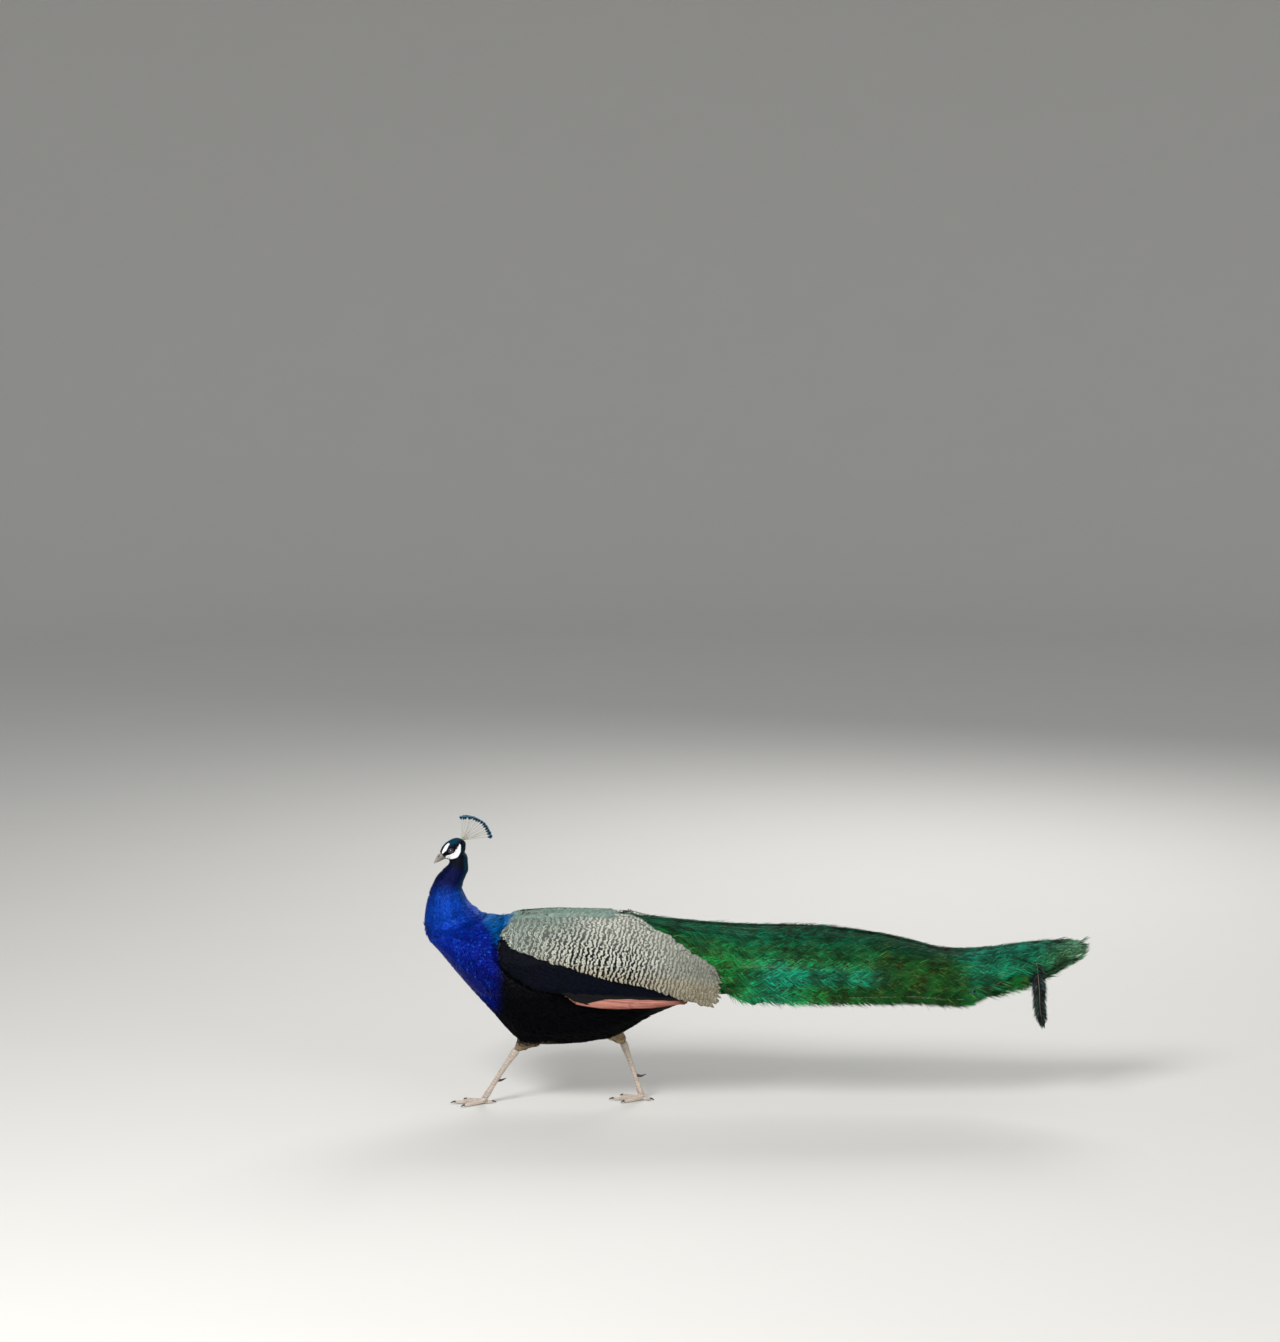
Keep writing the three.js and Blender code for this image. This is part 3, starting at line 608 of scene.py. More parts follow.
def new_material(name, **constants):
    """A material with one Principled shader and its constant values; returns it, its tree and shader."""
    material = bpy.data.materials.new(name)
    material.use_nodes = True
    tree = material.node_tree
    shader = tree.nodes["Principled BSDF"]
    for title, value in constants.items():
        shader.inputs[title.replace("_", " ")].default_value = value
    return material, tree, shader


def attribute(tree, name, output="Vector"):
    """A value that the mesh carries."""
    return put(tree, "ShaderNodeAttribute", attribute_name=name).outputs[output]


def relief(tree, shader, height, strength, distance):
    """Bumps the shader by a height."""
    bump = put(tree, "ShaderNodeBump", [strength, distance])
    tree.links.new(height, bump.inputs["Height"])
    tree.links.new(bump.outputs[0], shader.inputs["Normal"])


def use_group(tree, group, **inputs):
    """Places a group with its inputs, named with _ for spaces; returns its outputs."""
    made = put(tree, "ShaderNodeGroup", node_tree=group)
    for title, value in inputs.items():
        feed(tree, made.inputs[title.replace("_", " ")], value)
    return made.outputs


def vane_material(name, edge=(0, 0, 0), edge_amount=0.0, variation=0.6, barbs=14.0, bars=None, **constants):
    """Feathers: their tint varied from one to the next, edged, lined by barbs and, if asked, barred."""
    material, tree, shader = new_material(name, **({"Specular_IOR_Level": 0.12} | constants))
    vane = attribute(tree, "vane")
    lines = use_group(tree, barbs_group(), Vane=vane, Barbs=barbs)
    given = {"Tint": attribute(tree, "tint", "Color"), "Vane": vane, "Barb": lines["Barb"]}
    given |= {"Edge": solid(edge), "Edge_amount": edge_amount, "Variation": variation}
    colour = use_group(tree, vane_colour_group(), **given)["Colour"]
    if bars is not None:
        plan = attribute(tree, "plan")
        colour = use_group(tree, bars_group(), Ground=colour, Bar=solid(bars), Plan=plan, Vane=vane)["Colour"]
    tree.links.new(colour, shader.inputs["Base Color"])
    rough = shader.inputs["Roughness"].default_value
    worn = ramped(tree, lines["Barb"], 0.0, 1.0, rough - 0.08, rough + 0.1)
    tree.links.new(worn, shader.inputs["Roughness"])
    relief(tree, shader, lines["Height"], 0.35, 0.0006)
    return material


def mottled_material(name, colour, relief_depth, seams_and_shade=None, **constants):
    """Bare skin or horn: uneven colour with a pebbled surface; seams_and_shade is a colour laid where the
    mesh's plan value is high: the dark seams between leg scutes, and painted shade inside the nostrils.
    """
    scale = {key: constants.pop(key) for key in ("Scale", "Cells", "Amount", "Seams") if key in constants}
    material, tree, shader = new_material(name, **constants)
    base = attribute(tree, "tint", "Color") if colour is None else solid(colour)
    made = use_group(tree, mottle_group(), Colour=base, **scale)
    tint = made["Colour"]
    if seams_and_shade is not None:
        mask = split(tree, attribute(tree, "plan"))[0]
        tint = mixed(tree, mask, tint, solid(seams_and_shade))
    tree.links.new(tint, shader.inputs["Base Color"])
    rough = shader.inputs["Roughness"].default_value
    worn = ramped(tree, made["Cloud"], 0.3, 0.7, rough - 0.1, rough + 0.1)
    tree.links.new(worn, shader.inputs["Roughness"])
    relief(tree, shader, made["Height"], 0.4, relief_depth)
    return material


# ---------------------------------------------------------------- where things are on the bird


# The eye's middle in the head's space: towards the bill and up.
EYE_AT = [0.005, 0.004]


class HeadSpace:
    """Turns places into the head's own space: x towards the bill, y to the bird's left, z up its crown."""

    def __init__(self):
        turn = Matrix.Rotation(math.pi + sizes().head_turn, 3, "Z")
        pitch = Matrix.Rotation(sizes().head_pitch, 3, "Y")
        self.axes = np.array(turn @ pitch)
        eyes = (box_centre("eye_left") + box_centre("eye_right")) / 2
        self.centre = eyes - self.axes @ np.array([EYE_AT[0], 0, EYE_AT[1]])

    def inside(self, places):
        """Places on the bird, in the head's space."""
        return (np.atleast_2d(places) - self.centre) @ self.axes

    def outside(self, places):
        """Places in the head's space, on the bird."""
        return np.atleast_2d(places) @ self.axes.T + self.centre

    def direction(self, vectors):
        """Directions in the head's space, on the bird."""
        return np.atleast_2d(vectors) @ self.axes.T


LINE_POINTS = 160


class BodyLine:
    """The line that the plumage lies along: bill, head, neck, breast, back and rump."""

    def __init__(self, head):
        trunk_low, trunk_high = map(np.array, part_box("trunk"))
        middle = (trunk_low[2] * 0.45 + trunk_high[2] * 0.55)
        upper = box_centre("neck_upper")
        lower = box_centre("neck_lower")
        knots = [
            head.outside([0.05, 0, -0.004])[0],
            head.outside([0.02, 0, 0])[0],
            head.outside([-0.012, 0, -0.004])[0],
            upper + [0.006, 0, 0.022],
            upper + [-0.004, 0, -0.02],
            lower + [-0.012, 0, 0.012],
            [trunk_low[0] + 0.1, 0, trunk_high[2] - 0.06],
            [trunk_low[0] + 0.19, 0, middle + 0.02],
            [trunk_low[0] + 0.34, 0, middle],
            [trunk_low[0] + 0.54, 0, middle + 0.04],
            [trunk_high[0], 0, middle + 0.05],
        ]
        self.path = curve_through(knots, LINE_POINTS)
        self.tangents = unit(np.gradient(self.path, axis=0))
        self.run = run_along(self.path)

    def nearest(self, places):
        """Index of the nearest point of the line for each place."""
        found = np.empty(len(places), int)
        for start in range(0, len(places), 20000):
            part = places[start : start + 20000]
            gap = ((part[:, None, :] - self.path[None]) ** 2).sum(2)
            found[start : start + 20000] = gap.argmin(1)
        return found

    def along(self, places):
        """Distance from the bill along the line, for each place."""
        return self.run[self.nearest(places)]

    def lie(self, places, normals):
        """The way that feathers lie at each place: along the line and flat on the surface."""
        index = self.nearest(places)
        before, after = (np.clip(index + step, 0, LINE_POINTS - 1) for step in (-3, 3))
        near = (self.tangents[before] + self.tangents[index] * 2) / 3 + self.tangents[after] / 3
        return flat_on(near, normals)

    def unwrapped(self, places):
        """Where each place lies on an unwrap of the skin: its share along the line and round it."""
        index = self.nearest(places)
        across = np.cross(self.tangents[index], [0.0, 1.0, 0.0])
        offset = places - self.path[index]
        angle = np.arctan2(offset[:, 1], (offset * across).sum(1))
        return np.column_stack([self.run[index] / self.run[-1], angle / (2 * math.pi) + 0.5])


def spread_map(roots_map, margin=0.01):
    """A map of roots stretched to fill its square."""
    low, high = roots_map.min(0), roots_map.max(0)
    return margin + (roots_map - low) / np.maximum(high - low, 1e-6) * (1 - 2 * margin)


def capsule_mask(flat, path, radii, soft):
    """How far each flat place lies inside a thick line, 0 to 1 with a soft edge."""
    best = np.full(len(flat), -1.0)
    path = np.asarray(path)
    for a, b, r0, r1 in zip(path, path[1:], radii, radii[1:], strict=False):
        share = np.clip(((flat - a) @ (b - a)) / ((b - a) @ (b - a)), 0, 1)
        gap = np.linalg.norm(flat - (a + share[:, None] * (b - a)), axis=1)
        best = np.maximum(best, (r0 + (r1 - r0) * share) - gap)
    return fade(best, -soft, soft)


BROW_STRIPE = [(0.0267, 0.008), (0.0165, 0.013), (0.008, 0.018), (0.001, 0.019)]
BROW_RADII = [0.003, 0.0045, 0.0035, 0.0015]
CHEEK_PATCH = [(0.02, -0.0058), (0.012, -0.0093), (0.0011, -0.0088), (-0.0092, -0.0039), (-0.0175, 0.0046)]
CHEEK_RADII = [0.0038, 0.0058, 0.0068, 0.007, 0.004]


def bare_face(head, places):
    """How white and bare the face is at each place: the stripe over the eye and the patch below it."""
    own = head.inside(places)
    flat = own[:, [0, 2]]
    near = fade(np.linalg.norm(own, axis=1), 0.06, 0.05)
    aside = fade(np.abs(own[:, 1]), 0.0045, 0.0065)
    stripe = capsule_mask(flat, BROW_STRIPE, BROW_RADII, 0.0006)
    patch = capsule_mask(flat, CHEEK_PATCH, CHEEK_RADII, 0.0006)
    return np.maximum(stripe, patch) * near * aside


# How far round the thighs their own feathers reach.
THIGH_MARGIN = 0.012


def plumage(places, normals, head, line):
    """The colour of skin and coat alike at each place on the head, neck and trunk."""
    tone = colours()
    run = line.along(places)
    stops = [
        (0.0, tone.head_dark),
        (0.09, tone.head_dark),
        (0.11, tone.navy),
        (0.136, tone.navy),
        # From here to the cobalt the neck is lighter, a painted highlight.
        (0.18, tone.neck_painted_highlight),
        (0.205, tone.neck_painted_highlight),
        (0.262, tone.cobalt),
        (0.36, tone.royal),
        # The deep blue of the lower breast is painted shade. The belly's black past it is the belly's own
        # colour.
        (0.46, tone.breast_painted_shade),
        (0.62, tone.belly_black),
        (1.2, tone.belly_black),
    ]
    tint = rows_at(run, [mark for mark, _ in stops], [tuple(shown) for _, shown in stops])
    x, _, z = places.T
    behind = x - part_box("trunk")[0][0]
    own = head.inside(places)
    crown = fade(own[:, 2], 0.011, 0.019) * fade(run, 0.11, 0.085)
    nape = fade(run, 0.24, 0.14) * fade(run, 0.05, 0.08)
    nape = fade(normals[:, 0], 0.45, 0.9) * nape
    tint = blend(tint, [tone.crown_teal], np.maximum(crown, nape * 0.7))
    low = fade(z, 0.275, 0.2) * fade(run, 0.25, 0.33)
    tint = blend(tint, [tone.belly_black], low)
    flank = fade(behind, 0.148, 0.182) * fade(z, 0.424, 0.402)
    tint = blend(tint, [tone.belly_black], flank)
    wedge = fade(behind - 0.109 - (0.475 - z) * 0.76, -0.01, 0.014) * fade(z, 0.385, 0.405)
    wedge = wedge * fade(run, 0.19, 0.24)
    tint = blend(tint, [tone.mantle_teal], wedge)
    back = fade(z, 0.395, 0.412) * fade(behind, 0.178, 0.21)
    tint = blend(tint, [tone.mantle_grey], back)
    # Only the lower ends of the thighs get their buff. Above that, the thighs keep the belly's black as
    # painted shade under the body.
    for side, top in (("left", 0.15), ("right", 0.185)):
        near = in_box(places, *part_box(f"thigh_{side}"), THIGH_MARGIN)
        tint = blend(tint, [tone.thigh_buff], near * fade(z, top + 0.012, top - 0.012))
    from_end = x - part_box("trunk")[1][0]
    vent = fade(from_end, -0.26, -0.14) * fade(normals[:, 2], 0.35, 0.0)
    return blend(tint, [tone.vent_brown], vent)


def wing_rows(places):
    """How near each place is to the folded wings, 0 to 1, and the colour of the row that lies over it."""
    tone = colours()
    rows = {"coverts": tone.mantle_grey, "secondaries": tone.secondary_black, "primaries": tone.belly_black}
    gaps = np.full((len(places), len(rows)), 1.0)
    for column, row in enumerate(rows):
        names = [f"wing_{side}_{row}" for side in SIDES]
        low, high = np.min([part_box(n)[0] for n in names], 0), np.max([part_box(n)[1] for n in names], 0)
        near = in_box(places, low, high, 0.02)
        gaps[near, column] = cad_surface(*names).distance(places[near])
    nearest = np.array(list(rows.values()))[gaps.argmin(1)]
    return fade(gaps.min(1), 0.01, 0.005), nearest


def skin_depth(places, head, line):
    """How far the skin lies inside the solids, so that the coat's tips reach their outline."""
    size = sizes()
    run = line.along(places)
    marks = [0.02, 0.08, 0.14, 0.22, 0.32]
    depth = [size.face_depth, size.face_depth * 2, size.neck_depth * 0.7, size.neck_depth, size.body_depth]
    deep = np.interp(run, marks, depth)
    deep = deep * (1 - 0.8 * bare_face(head, places))
    bill = np.linalg.norm(places - head.outside([0.03, 0, 0.002]), axis=1)
    deep = deep * fade(bill, 0.004, 0.016)
    for side in SIDES:
        low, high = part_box(f"shank_{side}")
        hock = np.array([(low[0] + high[0]) / 2, (low[1] + high[1]) / 2, high[2]])
        near = np.linalg.norm(places - hock, axis=1)
        deep = deep * fade(near, 0.03, 0.09)
    return deep


class Bird:
    """What several pieces share: the head's space, the body's line, the skin and the solids' surfaces."""

    kept = {}

    @classmethod
    def get(cls, key, make):
        """A shared value, made once."""
        if key not in cls.kept:
            cls.kept[key] = make()
        return cls.kept[key]


def head_space():
    """The head's own space."""
    return Bird.get("head", HeadSpace)


def body_line():
    """The line that the plumage lies along."""
    return Bird.get("line", lambda: BodyLine(head_space()))


def skin_surface():
    """The finished skin as a surface, made by the skin operator."""
    return Bird.kept["skin"]


# ---------------------------------------------------------------- skin


def refined_near(points, quads, centre, reach, cuts):
    """The mesh with its edges near a centre cut into shorter ones, as points and triangles."""
    mesh = bmesh.new()
    verts = [mesh.verts.new(p) for p in points.tolist()]
    for quad in quads.tolist():
        mesh.faces.new([verts[i] for i in quad])
    near = np.linalg.norm(points - centre, axis=1) < reach
    mesh.verts.index_update()
    edges = [e for e in mesh.edges if near[e.verts[0].index] and near[e.verts[1].index]]
    bmesh.ops.subdivide_edges(mesh, edges=edges, cuts=cuts, use_grid_fill=True, smooth=0.6)
    bmesh.ops.triangulate(mesh, faces=mesh.faces[:])
    mesh.verts.index_update()
    made = np.array([v.co for v in mesh.verts])
    triangles = np.array([[v.index for v in f.verts] for f in mesh.faces])
    mesh.free()
    return made, triangles


# Lines of the face in the head's space, each with its half widths.
BROW_RIDGE = [(0.016, 0.0085), (0.004, 0.0118), (-0.008, 0.01)], [0.001, 0.0018, 0.0008]
FOLD_SPACING = 0.0024
GAPE = [(0.029, -0.0036), (0.02, -0.0052), (0.014, -0.0072)], [0.0003] * 3


def sculpted_face(points, normals, head):
    """Moves the skin of the face: eye sockets, brows, puffed bare patches with folds, and the gape."""
    own = head.inside(points)
    flat = own[:, [0, 2]]
    side = fade(np.linalg.norm(own, axis=1), 0.055, 0.045)
    side = fade(np.abs(own[:, 1]), 0.004, 0.009) * side
    from_eye = np.linalg.norm((flat - EYE_AT) / [1.12, 1.0], axis=1)
    socket = fade(from_eye, 0.005, 0.0032)
    rim = hump(from_eye, 0.0066, 0.0012)
    brow = capsule_mask(flat, *BROW_RIDGE, 0.002)
    patch = capsule_mask(flat, CHEEK_PATCH, CHEEK_RADII, 0.0016)
    stripe = capsule_mask(flat, BROW_STRIPE, BROW_RADII, 0.0014)
    folds = np.sin(from_eye * FULL_TURN / FOLD_SPACING) * 0.00016
    gape = capsule_mask(flat, *GAPE, 0.0009)
    ear = hump(np.linalg.norm(flat - [-0.019, -0.004], axis=1), 0, 0.006)
    move = 0.0006 * rim + 0.0011 * brow + (0.0007 + folds) * np.maximum(patch, stripe) + 0.0007 * ear
    move = move - 0.0022 * socket - 0.001 * gape
    return points + normals * (move * side)[:, None]


# Where along the back the skin fills the furrow between the wings, and how high it stands there.
BACK_FILL = [[-0.62, -0.56, -0.48, -0.34, -0.27], [0.43, 0.4515, 0.4585, 0.4555, 0.431]]


class PEACOCK_OT_skin(bpy.types.Operator):
    """Make one skin for the head, neck, trunk, thighs and wing arms"""

    bl_idname = "peacock.skin"
    bl_label = "Skin"

    def execute(self, context):
        head, line = head_space(), body_line()
        points, quads = remeshed(*cad_arrays(*FLESH, *WINGS), sizes().skin_voxel)
        edges = face_edges(quads)
        points = relaxed(points, edges, 4)
        base = box_centre("neck_lower") - [0.0, 0.0, 0.035]
        joint = fade(np.linalg.norm((points - base) / [1.0, 1.0, 0.7], axis=1), 0.15, 0.08)
        points = relaxed(points, edges, 16, only=joint)
        centre = head.outside([0.0, 0, 0.0])[0]
        points, triangles = refined_near(points, quads, centre, 0.05, 3)
        near = fade(np.linalg.norm(points - centre, axis=1), 0.058, 0.046)
        points = relaxed(points, face_edges(triangles), 10, only=near)
        normals = Surface(points, triangles).normals
        close, _ = wing_rows(points)
        depth = skin_depth(points, head, line)
        depth = depth + (np.minimum(depth, 0.0035) - depth) * close
        points = points - normals * depth[:, None]
        points = relaxed(points, face_edges(triangles), 2, only=1 - near)
        between = fade(np.abs(points[:, 1]), 0.044, 0.031) * (points[:, 2] > 0.4)
        fill = np.interp(points[:, 0], BACK_FILL[0], BACK_FILL[1]) - points[:, 2]
        points[:, 2] += np.maximum(fill, 0) * between
        points = relaxed(points, face_edges(triangles), 3, only=between)
        points = sculpted_face(points, Surface(points, triangles).normals, head)
        surface = Surface(points, triangles)
        Bird.kept["skin"] = surface
        close, row = wing_rows(points)
        # The skin takes the coat's colours darkened to three quarters: painted shade in the gaps between the
        # feathers.
        tint = blend(plumage(points, surface.normals, head, line), row, close) * 0.75
        bare = bare_face(head, points)
        tint = blend(tint, [colours().face_white], bare)
        values = {"plan": plan_of(bare)}
        piece = mesh_piece("skin", points, triangles, skin_material(), "blue_feathers", tint, values)
        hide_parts(*FLESH)
        return {"FINISHED"}


def skin_material():
    """Skin under the coat, finely wrinkled where the face is bare."""
    material, tree, shader = new_material("skin", Roughness=0.6, Specular_IOR_Level=0.2)
    made = use_group(tree, mottle_group(), Colour=attribute(tree, "tint", "Color"), Amount=0.25, Seams=0.12)
    tree.links.new(made["Colour"], shader.inputs["Base Color"])
    wrinkle = times(tree, noise(tree, own_place(tree), 900.0, 3.0), 0.7)
    relief(tree, shader, maths(tree, "ADD", made["Height"], wrinkle), 0.3, 0.0004)
    return material


# ---------------------------------------------------------------- feather vanes


def settled(surface, places):
    """Each place dropped to the nearest point of the surface, with the smooth normal there."""
    found = [surface.tree.find_nearest(Vector(p)) for p in places.tolist()]
    spots = np.array([hit[0] for hit in found])
    corners = surface.triangles[[hit[2] for hit in found]]
    a, b, c = (surface.points[corners[:, i]] for i in range(3))
    u, v, w = b - a, c - a, spots - a
    uu, uv, vv, wu, wv = ((p * q).sum(1) for p, q in ((u, u), (u, v), (v, v), (w, u), (w, v)))
    spread = np.maximum(uu * vv - uv * uv, 1e-18)
    second = np.clip((vv * wu - uv * wv) / spread, 0, 1)
    third = np.clip((uu * wv - uv * wu) / spread, 0, 1)
    parts = np.column_stack([np.clip(1 - second - third, 0, 1), second, third])[:, :, None]
    return spots, unit((surface.normals[corners] * parts).sum(1))


def contour_width(v):
    """Half the width of a body feather along its length, as a share: a narrow root and a round end."""
    return np.interp(v, [0.0, 0.3, 0.65, 0.88, 1.0], [0.42, 0.86, 1.0, 0.82, 0.46])


def flight_width(v):
    """The same for a long flight feather: nearly parallel, with a rounded tip."""
    return np.interp(v, [0.0, 0.12, 0.25, 0.6, 0.9, 0.97, 1.0], [0.15, 0.6, 0.9, 1.0, 0.85, 0.55, 0.25])


def grid_faces(count, rows, columns):
    """Quads of count grids, each of rows by columns cells."""
    across = columns + 1
    corner = (np.arange(rows)[:, None] * across + np.arange(columns)[None]).ravel()
    quad = np.column_stack([corner, corner + 1, corner + across + 1, corner + across])
    starts = np.arange(count)[:, None, None] * ((rows + 1) * across)
    return (quad[None] + starts).reshape(-1, 4)


def vane_grid(spine, normals, widths, columns, cup, bow, width_of, twist=0.0):
    """Points of vanes from their centre lines (feathers, rows, 3), cupped across and bowed at the tip."""
    rows = spine.shape[1] - 1
    v = np.linspace(0, 1, rows + 1)
    u = np.linspace(-1, 1, columns + 1)
    forward = unit(np.gradient(spine, axis=1))
    aside = unit(np.cross(forward, normals))
    aside = unit(aside + normals * np.reshape(twist, (-1, 1, 1)))
    half = (widths[:, None] / 2) * width_of(v)[None]
    length = np.linalg.norm(spine[:, -1] - spine[:, 0], axis=1)
    out = spine[:, :, None] + aside[:, :, None] * (half[:, :, None] * u)[..., None]
    out = out - normals[:, :, None] * (cup * half[:, :, None] * u**2)[..., None]
    back = bow * length[:, None, None] * v[None, :, None] ** 3 * u**2
    return out - forward[:, :, None] * back[..., None]


def vane_values(count, rows, columns, picks):
    """For each point of each vane: across, along and the feather's own chance value."""
    u = np.broadcast_to(np.linspace(-1, 1, columns + 1), (count, rows + 1, columns + 1))
    v = np.broadcast_to(np.linspace(0, 1, rows + 1)[:, None], (count, rows + 1, columns + 1))
    pick = np.broadcast_to(picks[:, None, None], (count, rows + 1, columns + 1))
    return np.stack([u, v, pick], -1).reshape(-1, 3)


def patches(root_map, vane):
    """Each point's place on the bake map: a small patch at its feather's root."""
    repeats = len(vane) // len(root_map)
    inside = np.column_stack([vane[:, 0] / 2, vane[:, 1] - 0.5]) * PATCH
    return np.repeat(root_map, repeats, axis=0) + inside


def numbered_map(count, step):
    """A place on the bake map for each of a few long feathers, by its number."""
    share = np.linspace(0, 1, count)
    return spread_map(np.column_stack([share, share % step]))


class Lay:
    """How the feathers of one region are shaped and how they lie."""

    rows, columns, cup, bow, rise = 3, 2, 0.25, 0.22, 0.9
    sway, twist, sink, firm = 0.12, 0.1, 0.0004, -1

    def __init__(self, **changes):
        self.__dict__.update(changes)


def laid_vanes(surface, roots, lies, lengths, widths, heights, lay, rng):
    """Vanes that start at their roots and hug the surface; their tips rise to the given heights."""
    spots, normals = settled(surface, roots)
    turn = rng.normal(0, lay.sway, len(roots))[:, None]
    ahead = unit(lies * np.cos(turn) + np.cross(normals, lies) * np.sin(turn))
    spine, ups = [spots - normals * lay.sink], [normals]
    step = lengths / lay.rows
    for row in range(1, lay.rows + 1):
        straight, before = spots + ahead * step[:, None], normals
        spots, normals = settled(surface, straight)
        off_edge = (normals * before).sum(1) < lay.firm
        spots[off_edge], normals[off_edge] = straight[off_edge], before[off_edge]
        ahead = flat_on(ahead, normals)
        v = row / lay.rows
        lift = heights * lay.rise * (1.4 * v - 0.4 * v * v)
        spine.append(spots + normals * lift[:, None])
        ups.append(normals)
    twist = rng.normal(0, lay.twist, len(roots))
    spine, ups = np.stack(spine, 1), np.stack(ups, 1)
    return vane_grid(spine, ups, widths, lay.columns, lay.cup, lay.bow, contour_width, twist)


def coat_piece(name, grid, picks, tint, root_map, material, slot, plan=None):
    """One joined mesh of vanes with its colours and bake map."""
    count, rows, columns = grid.shape[0], grid.shape[1] - 1, grid.shape[2] - 1
    vane = vane_values(count, rows, columns, picks)
    repeats = (rows + 1) * (columns + 1)
    tints = np.repeat(tint, repeats, axis=0) if len(tint) == count else tint
    vectors = {"vane": vane}
    if plan is not None:
        vectors["plan"] = plan
    faces = grid_faces(count, rows, columns)
    map_places = patches(root_map, vane)
    return mesh_piece(name, grid.reshape(-1, 3), faces, material, slot, tints, vectors, map_places)


# ---------------------------------------------------------------- coat of the body

RUN_MARKS = [0.0, 0.06, 0.1, 0.15, 0.26, 0.36, 0.5, 0.7]
ROOT_GAPS = [0.0011, 0.0012, 0.0016, 0.002, 0.0026, 0.0032, 0.004, 0.0046]
VANE_LENGTHS = [0.003, 0.004, 0.0062, 0.0084, 0.0112, 0.0148, 0.02, 0.025]
VANE_SHARES = [0.62, 0.6, 0.55, 0.56, 0.62, 0.66, 0.62, 0.58]
CANDIDATES = 150000


def body_roots(rng):
    """Roots of every feather of head, neck and trunk: place, normal and distance along the body."""
    surface, head, line = skin_surface(), head_space(), body_line()
    middles = surface.points[surface.triangles].mean(1)
    gaps = np.interp(line.along(middles), RUN_MARKS, ROOT_GAPS)
    places, normals = surface.draw(rng, CANDIDATES, 1 / gaps**2)
    own = head.inside(places)
    from_eye = np.linalg.norm(own[:, [0, 2]] - EYE_AT, axis=1)
    on_head = np.linalg.norm(own, axis=1) < 0.055
    keep = ~(on_head & (from_eye < 0.0062))
    keep &= ~(on_head & (own[:, 0] > 0.0275) & (own[:, 2] > -0.016))
    keep &= bare_face(head, places) < 0.35
    trunk_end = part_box("trunk")[1][0]
    keep &= ~((places[:, 0] > trunk_end - 0.25) & (normals[:, 2] > 0.2))
    places, normals = places[keep], normals[keep]
    between = (normals[:, 2] > 0.5) & (places[:, 2] > 0.38) & (np.abs(places[:, 1]) < 0.038)
    room = np.where(between, 0.0005, sizes().body_depth + 0.002)
    free = cad_surface(*WINGS).distance(places) > room
    places, normals = places[free], normals[free]
    run = line.along(places)
    gaps = np.interp(run, RUN_MARKS, ROOT_GAPS)
    picked = spread_out(places, gaps)
    return places[picked], normals[picked], run[picked]


def body_regions(places, normals, run):
    """Which region each root belongs to."""
    trunk_low, trunk_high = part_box("trunk")
    region = np.full(len(places), "breast_coat", dtype=object)
    region[places[:, 2] < 0.285] = "belly_coat"
    region[run > 0.62] = "belly_coat"
    up = normals[:, 2]
    region[(up > 0.2) & (places[:, 0] > trunk_low[0] + 0.176) & (places[:, 2] > 0.36)] = "mantle_coat"
    region[places[:, 0] > trunk_high[0] - 0.2] = "vent_coat"
    for side in SIDES:
        inside = in_box(places, *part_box(f"thigh_{side}"), THIGH_MARGIN)
        region[inside & (places[:, 2] < 0.165)] = "thigh_coat"
    region[run < 0.3] = "neck_coat"
    region[run < 0.098] = "head_coat"
    return region


REGION_LAYS = {
    "head_coat": Lay(rows=2, columns=2, cup=0.2, rise=0.95, sway=0.16, twist=0.08, sink=0.0002),
    "neck_coat": Lay(rows=3, columns=2, cup=0.3, sway=0.1, twist=0.08),
    "breast_coat": Lay(rows=3, columns=2, cup=0.3, sway=0.1, twist=0.07),
    "mantle_coat": Lay(rows=4, columns=4, cup=0.3, bow=0.34, sway=0.06, twist=0.04),
    "belly_coat": Lay(rows=3, columns=2, cup=0.2, sway=0.24, twist=0.2),
    "thigh_coat": Lay(rows=3, columns=2, cup=0.2, sway=0.22, twist=0.18),
    "vent_coat": Lay(rows=3, columns=2, cup=0.2, sway=0.28, twist=0.22),
}
REGION_SLOTS = {
    "head_coat": "head_feathers",
    "neck_coat": "blue_feathers",
    "breast_coat": "blue_feathers",
    "mantle_coat": "blue_feathers",
    "belly_coat": "belly_feathers",
    "thigh_coat": "thigh_feathers",
    "vent_coat": "brown_feathers",
}


def region_material(name):
    """The material of one region of the body's coat."""
    gloss = {"Roughness": 0.46, "Metallic": 0.45}
    soft = {"Roughness": 0.78, "Specular_IOR_Level": 0.05}
    kinds = {
        "head_coat": {"variation": 0.5, "barbs": 5.0, **gloss},
        "neck_coat": {"variation": 0.7, "barbs": 7.0, **gloss},
        "breast_coat": {"variation": 0.75, "barbs": 9.0, **gloss},
        "mantle_coat": {"edge": MANTLE_EDGE, "edge_amount": 0.25, "variation": 0.4, "barbs": 12.0, **soft},
        "belly_coat": {"variation": 0.8, "barbs": 9.0, **soft},
        "thigh_coat": {"variation": 0.6, "barbs": 7.0, **soft},
        "vent_coat": {"variation": 0.9, "barbs": 7.0, **soft},
    }
    return vane_material(name, **kinds[name])


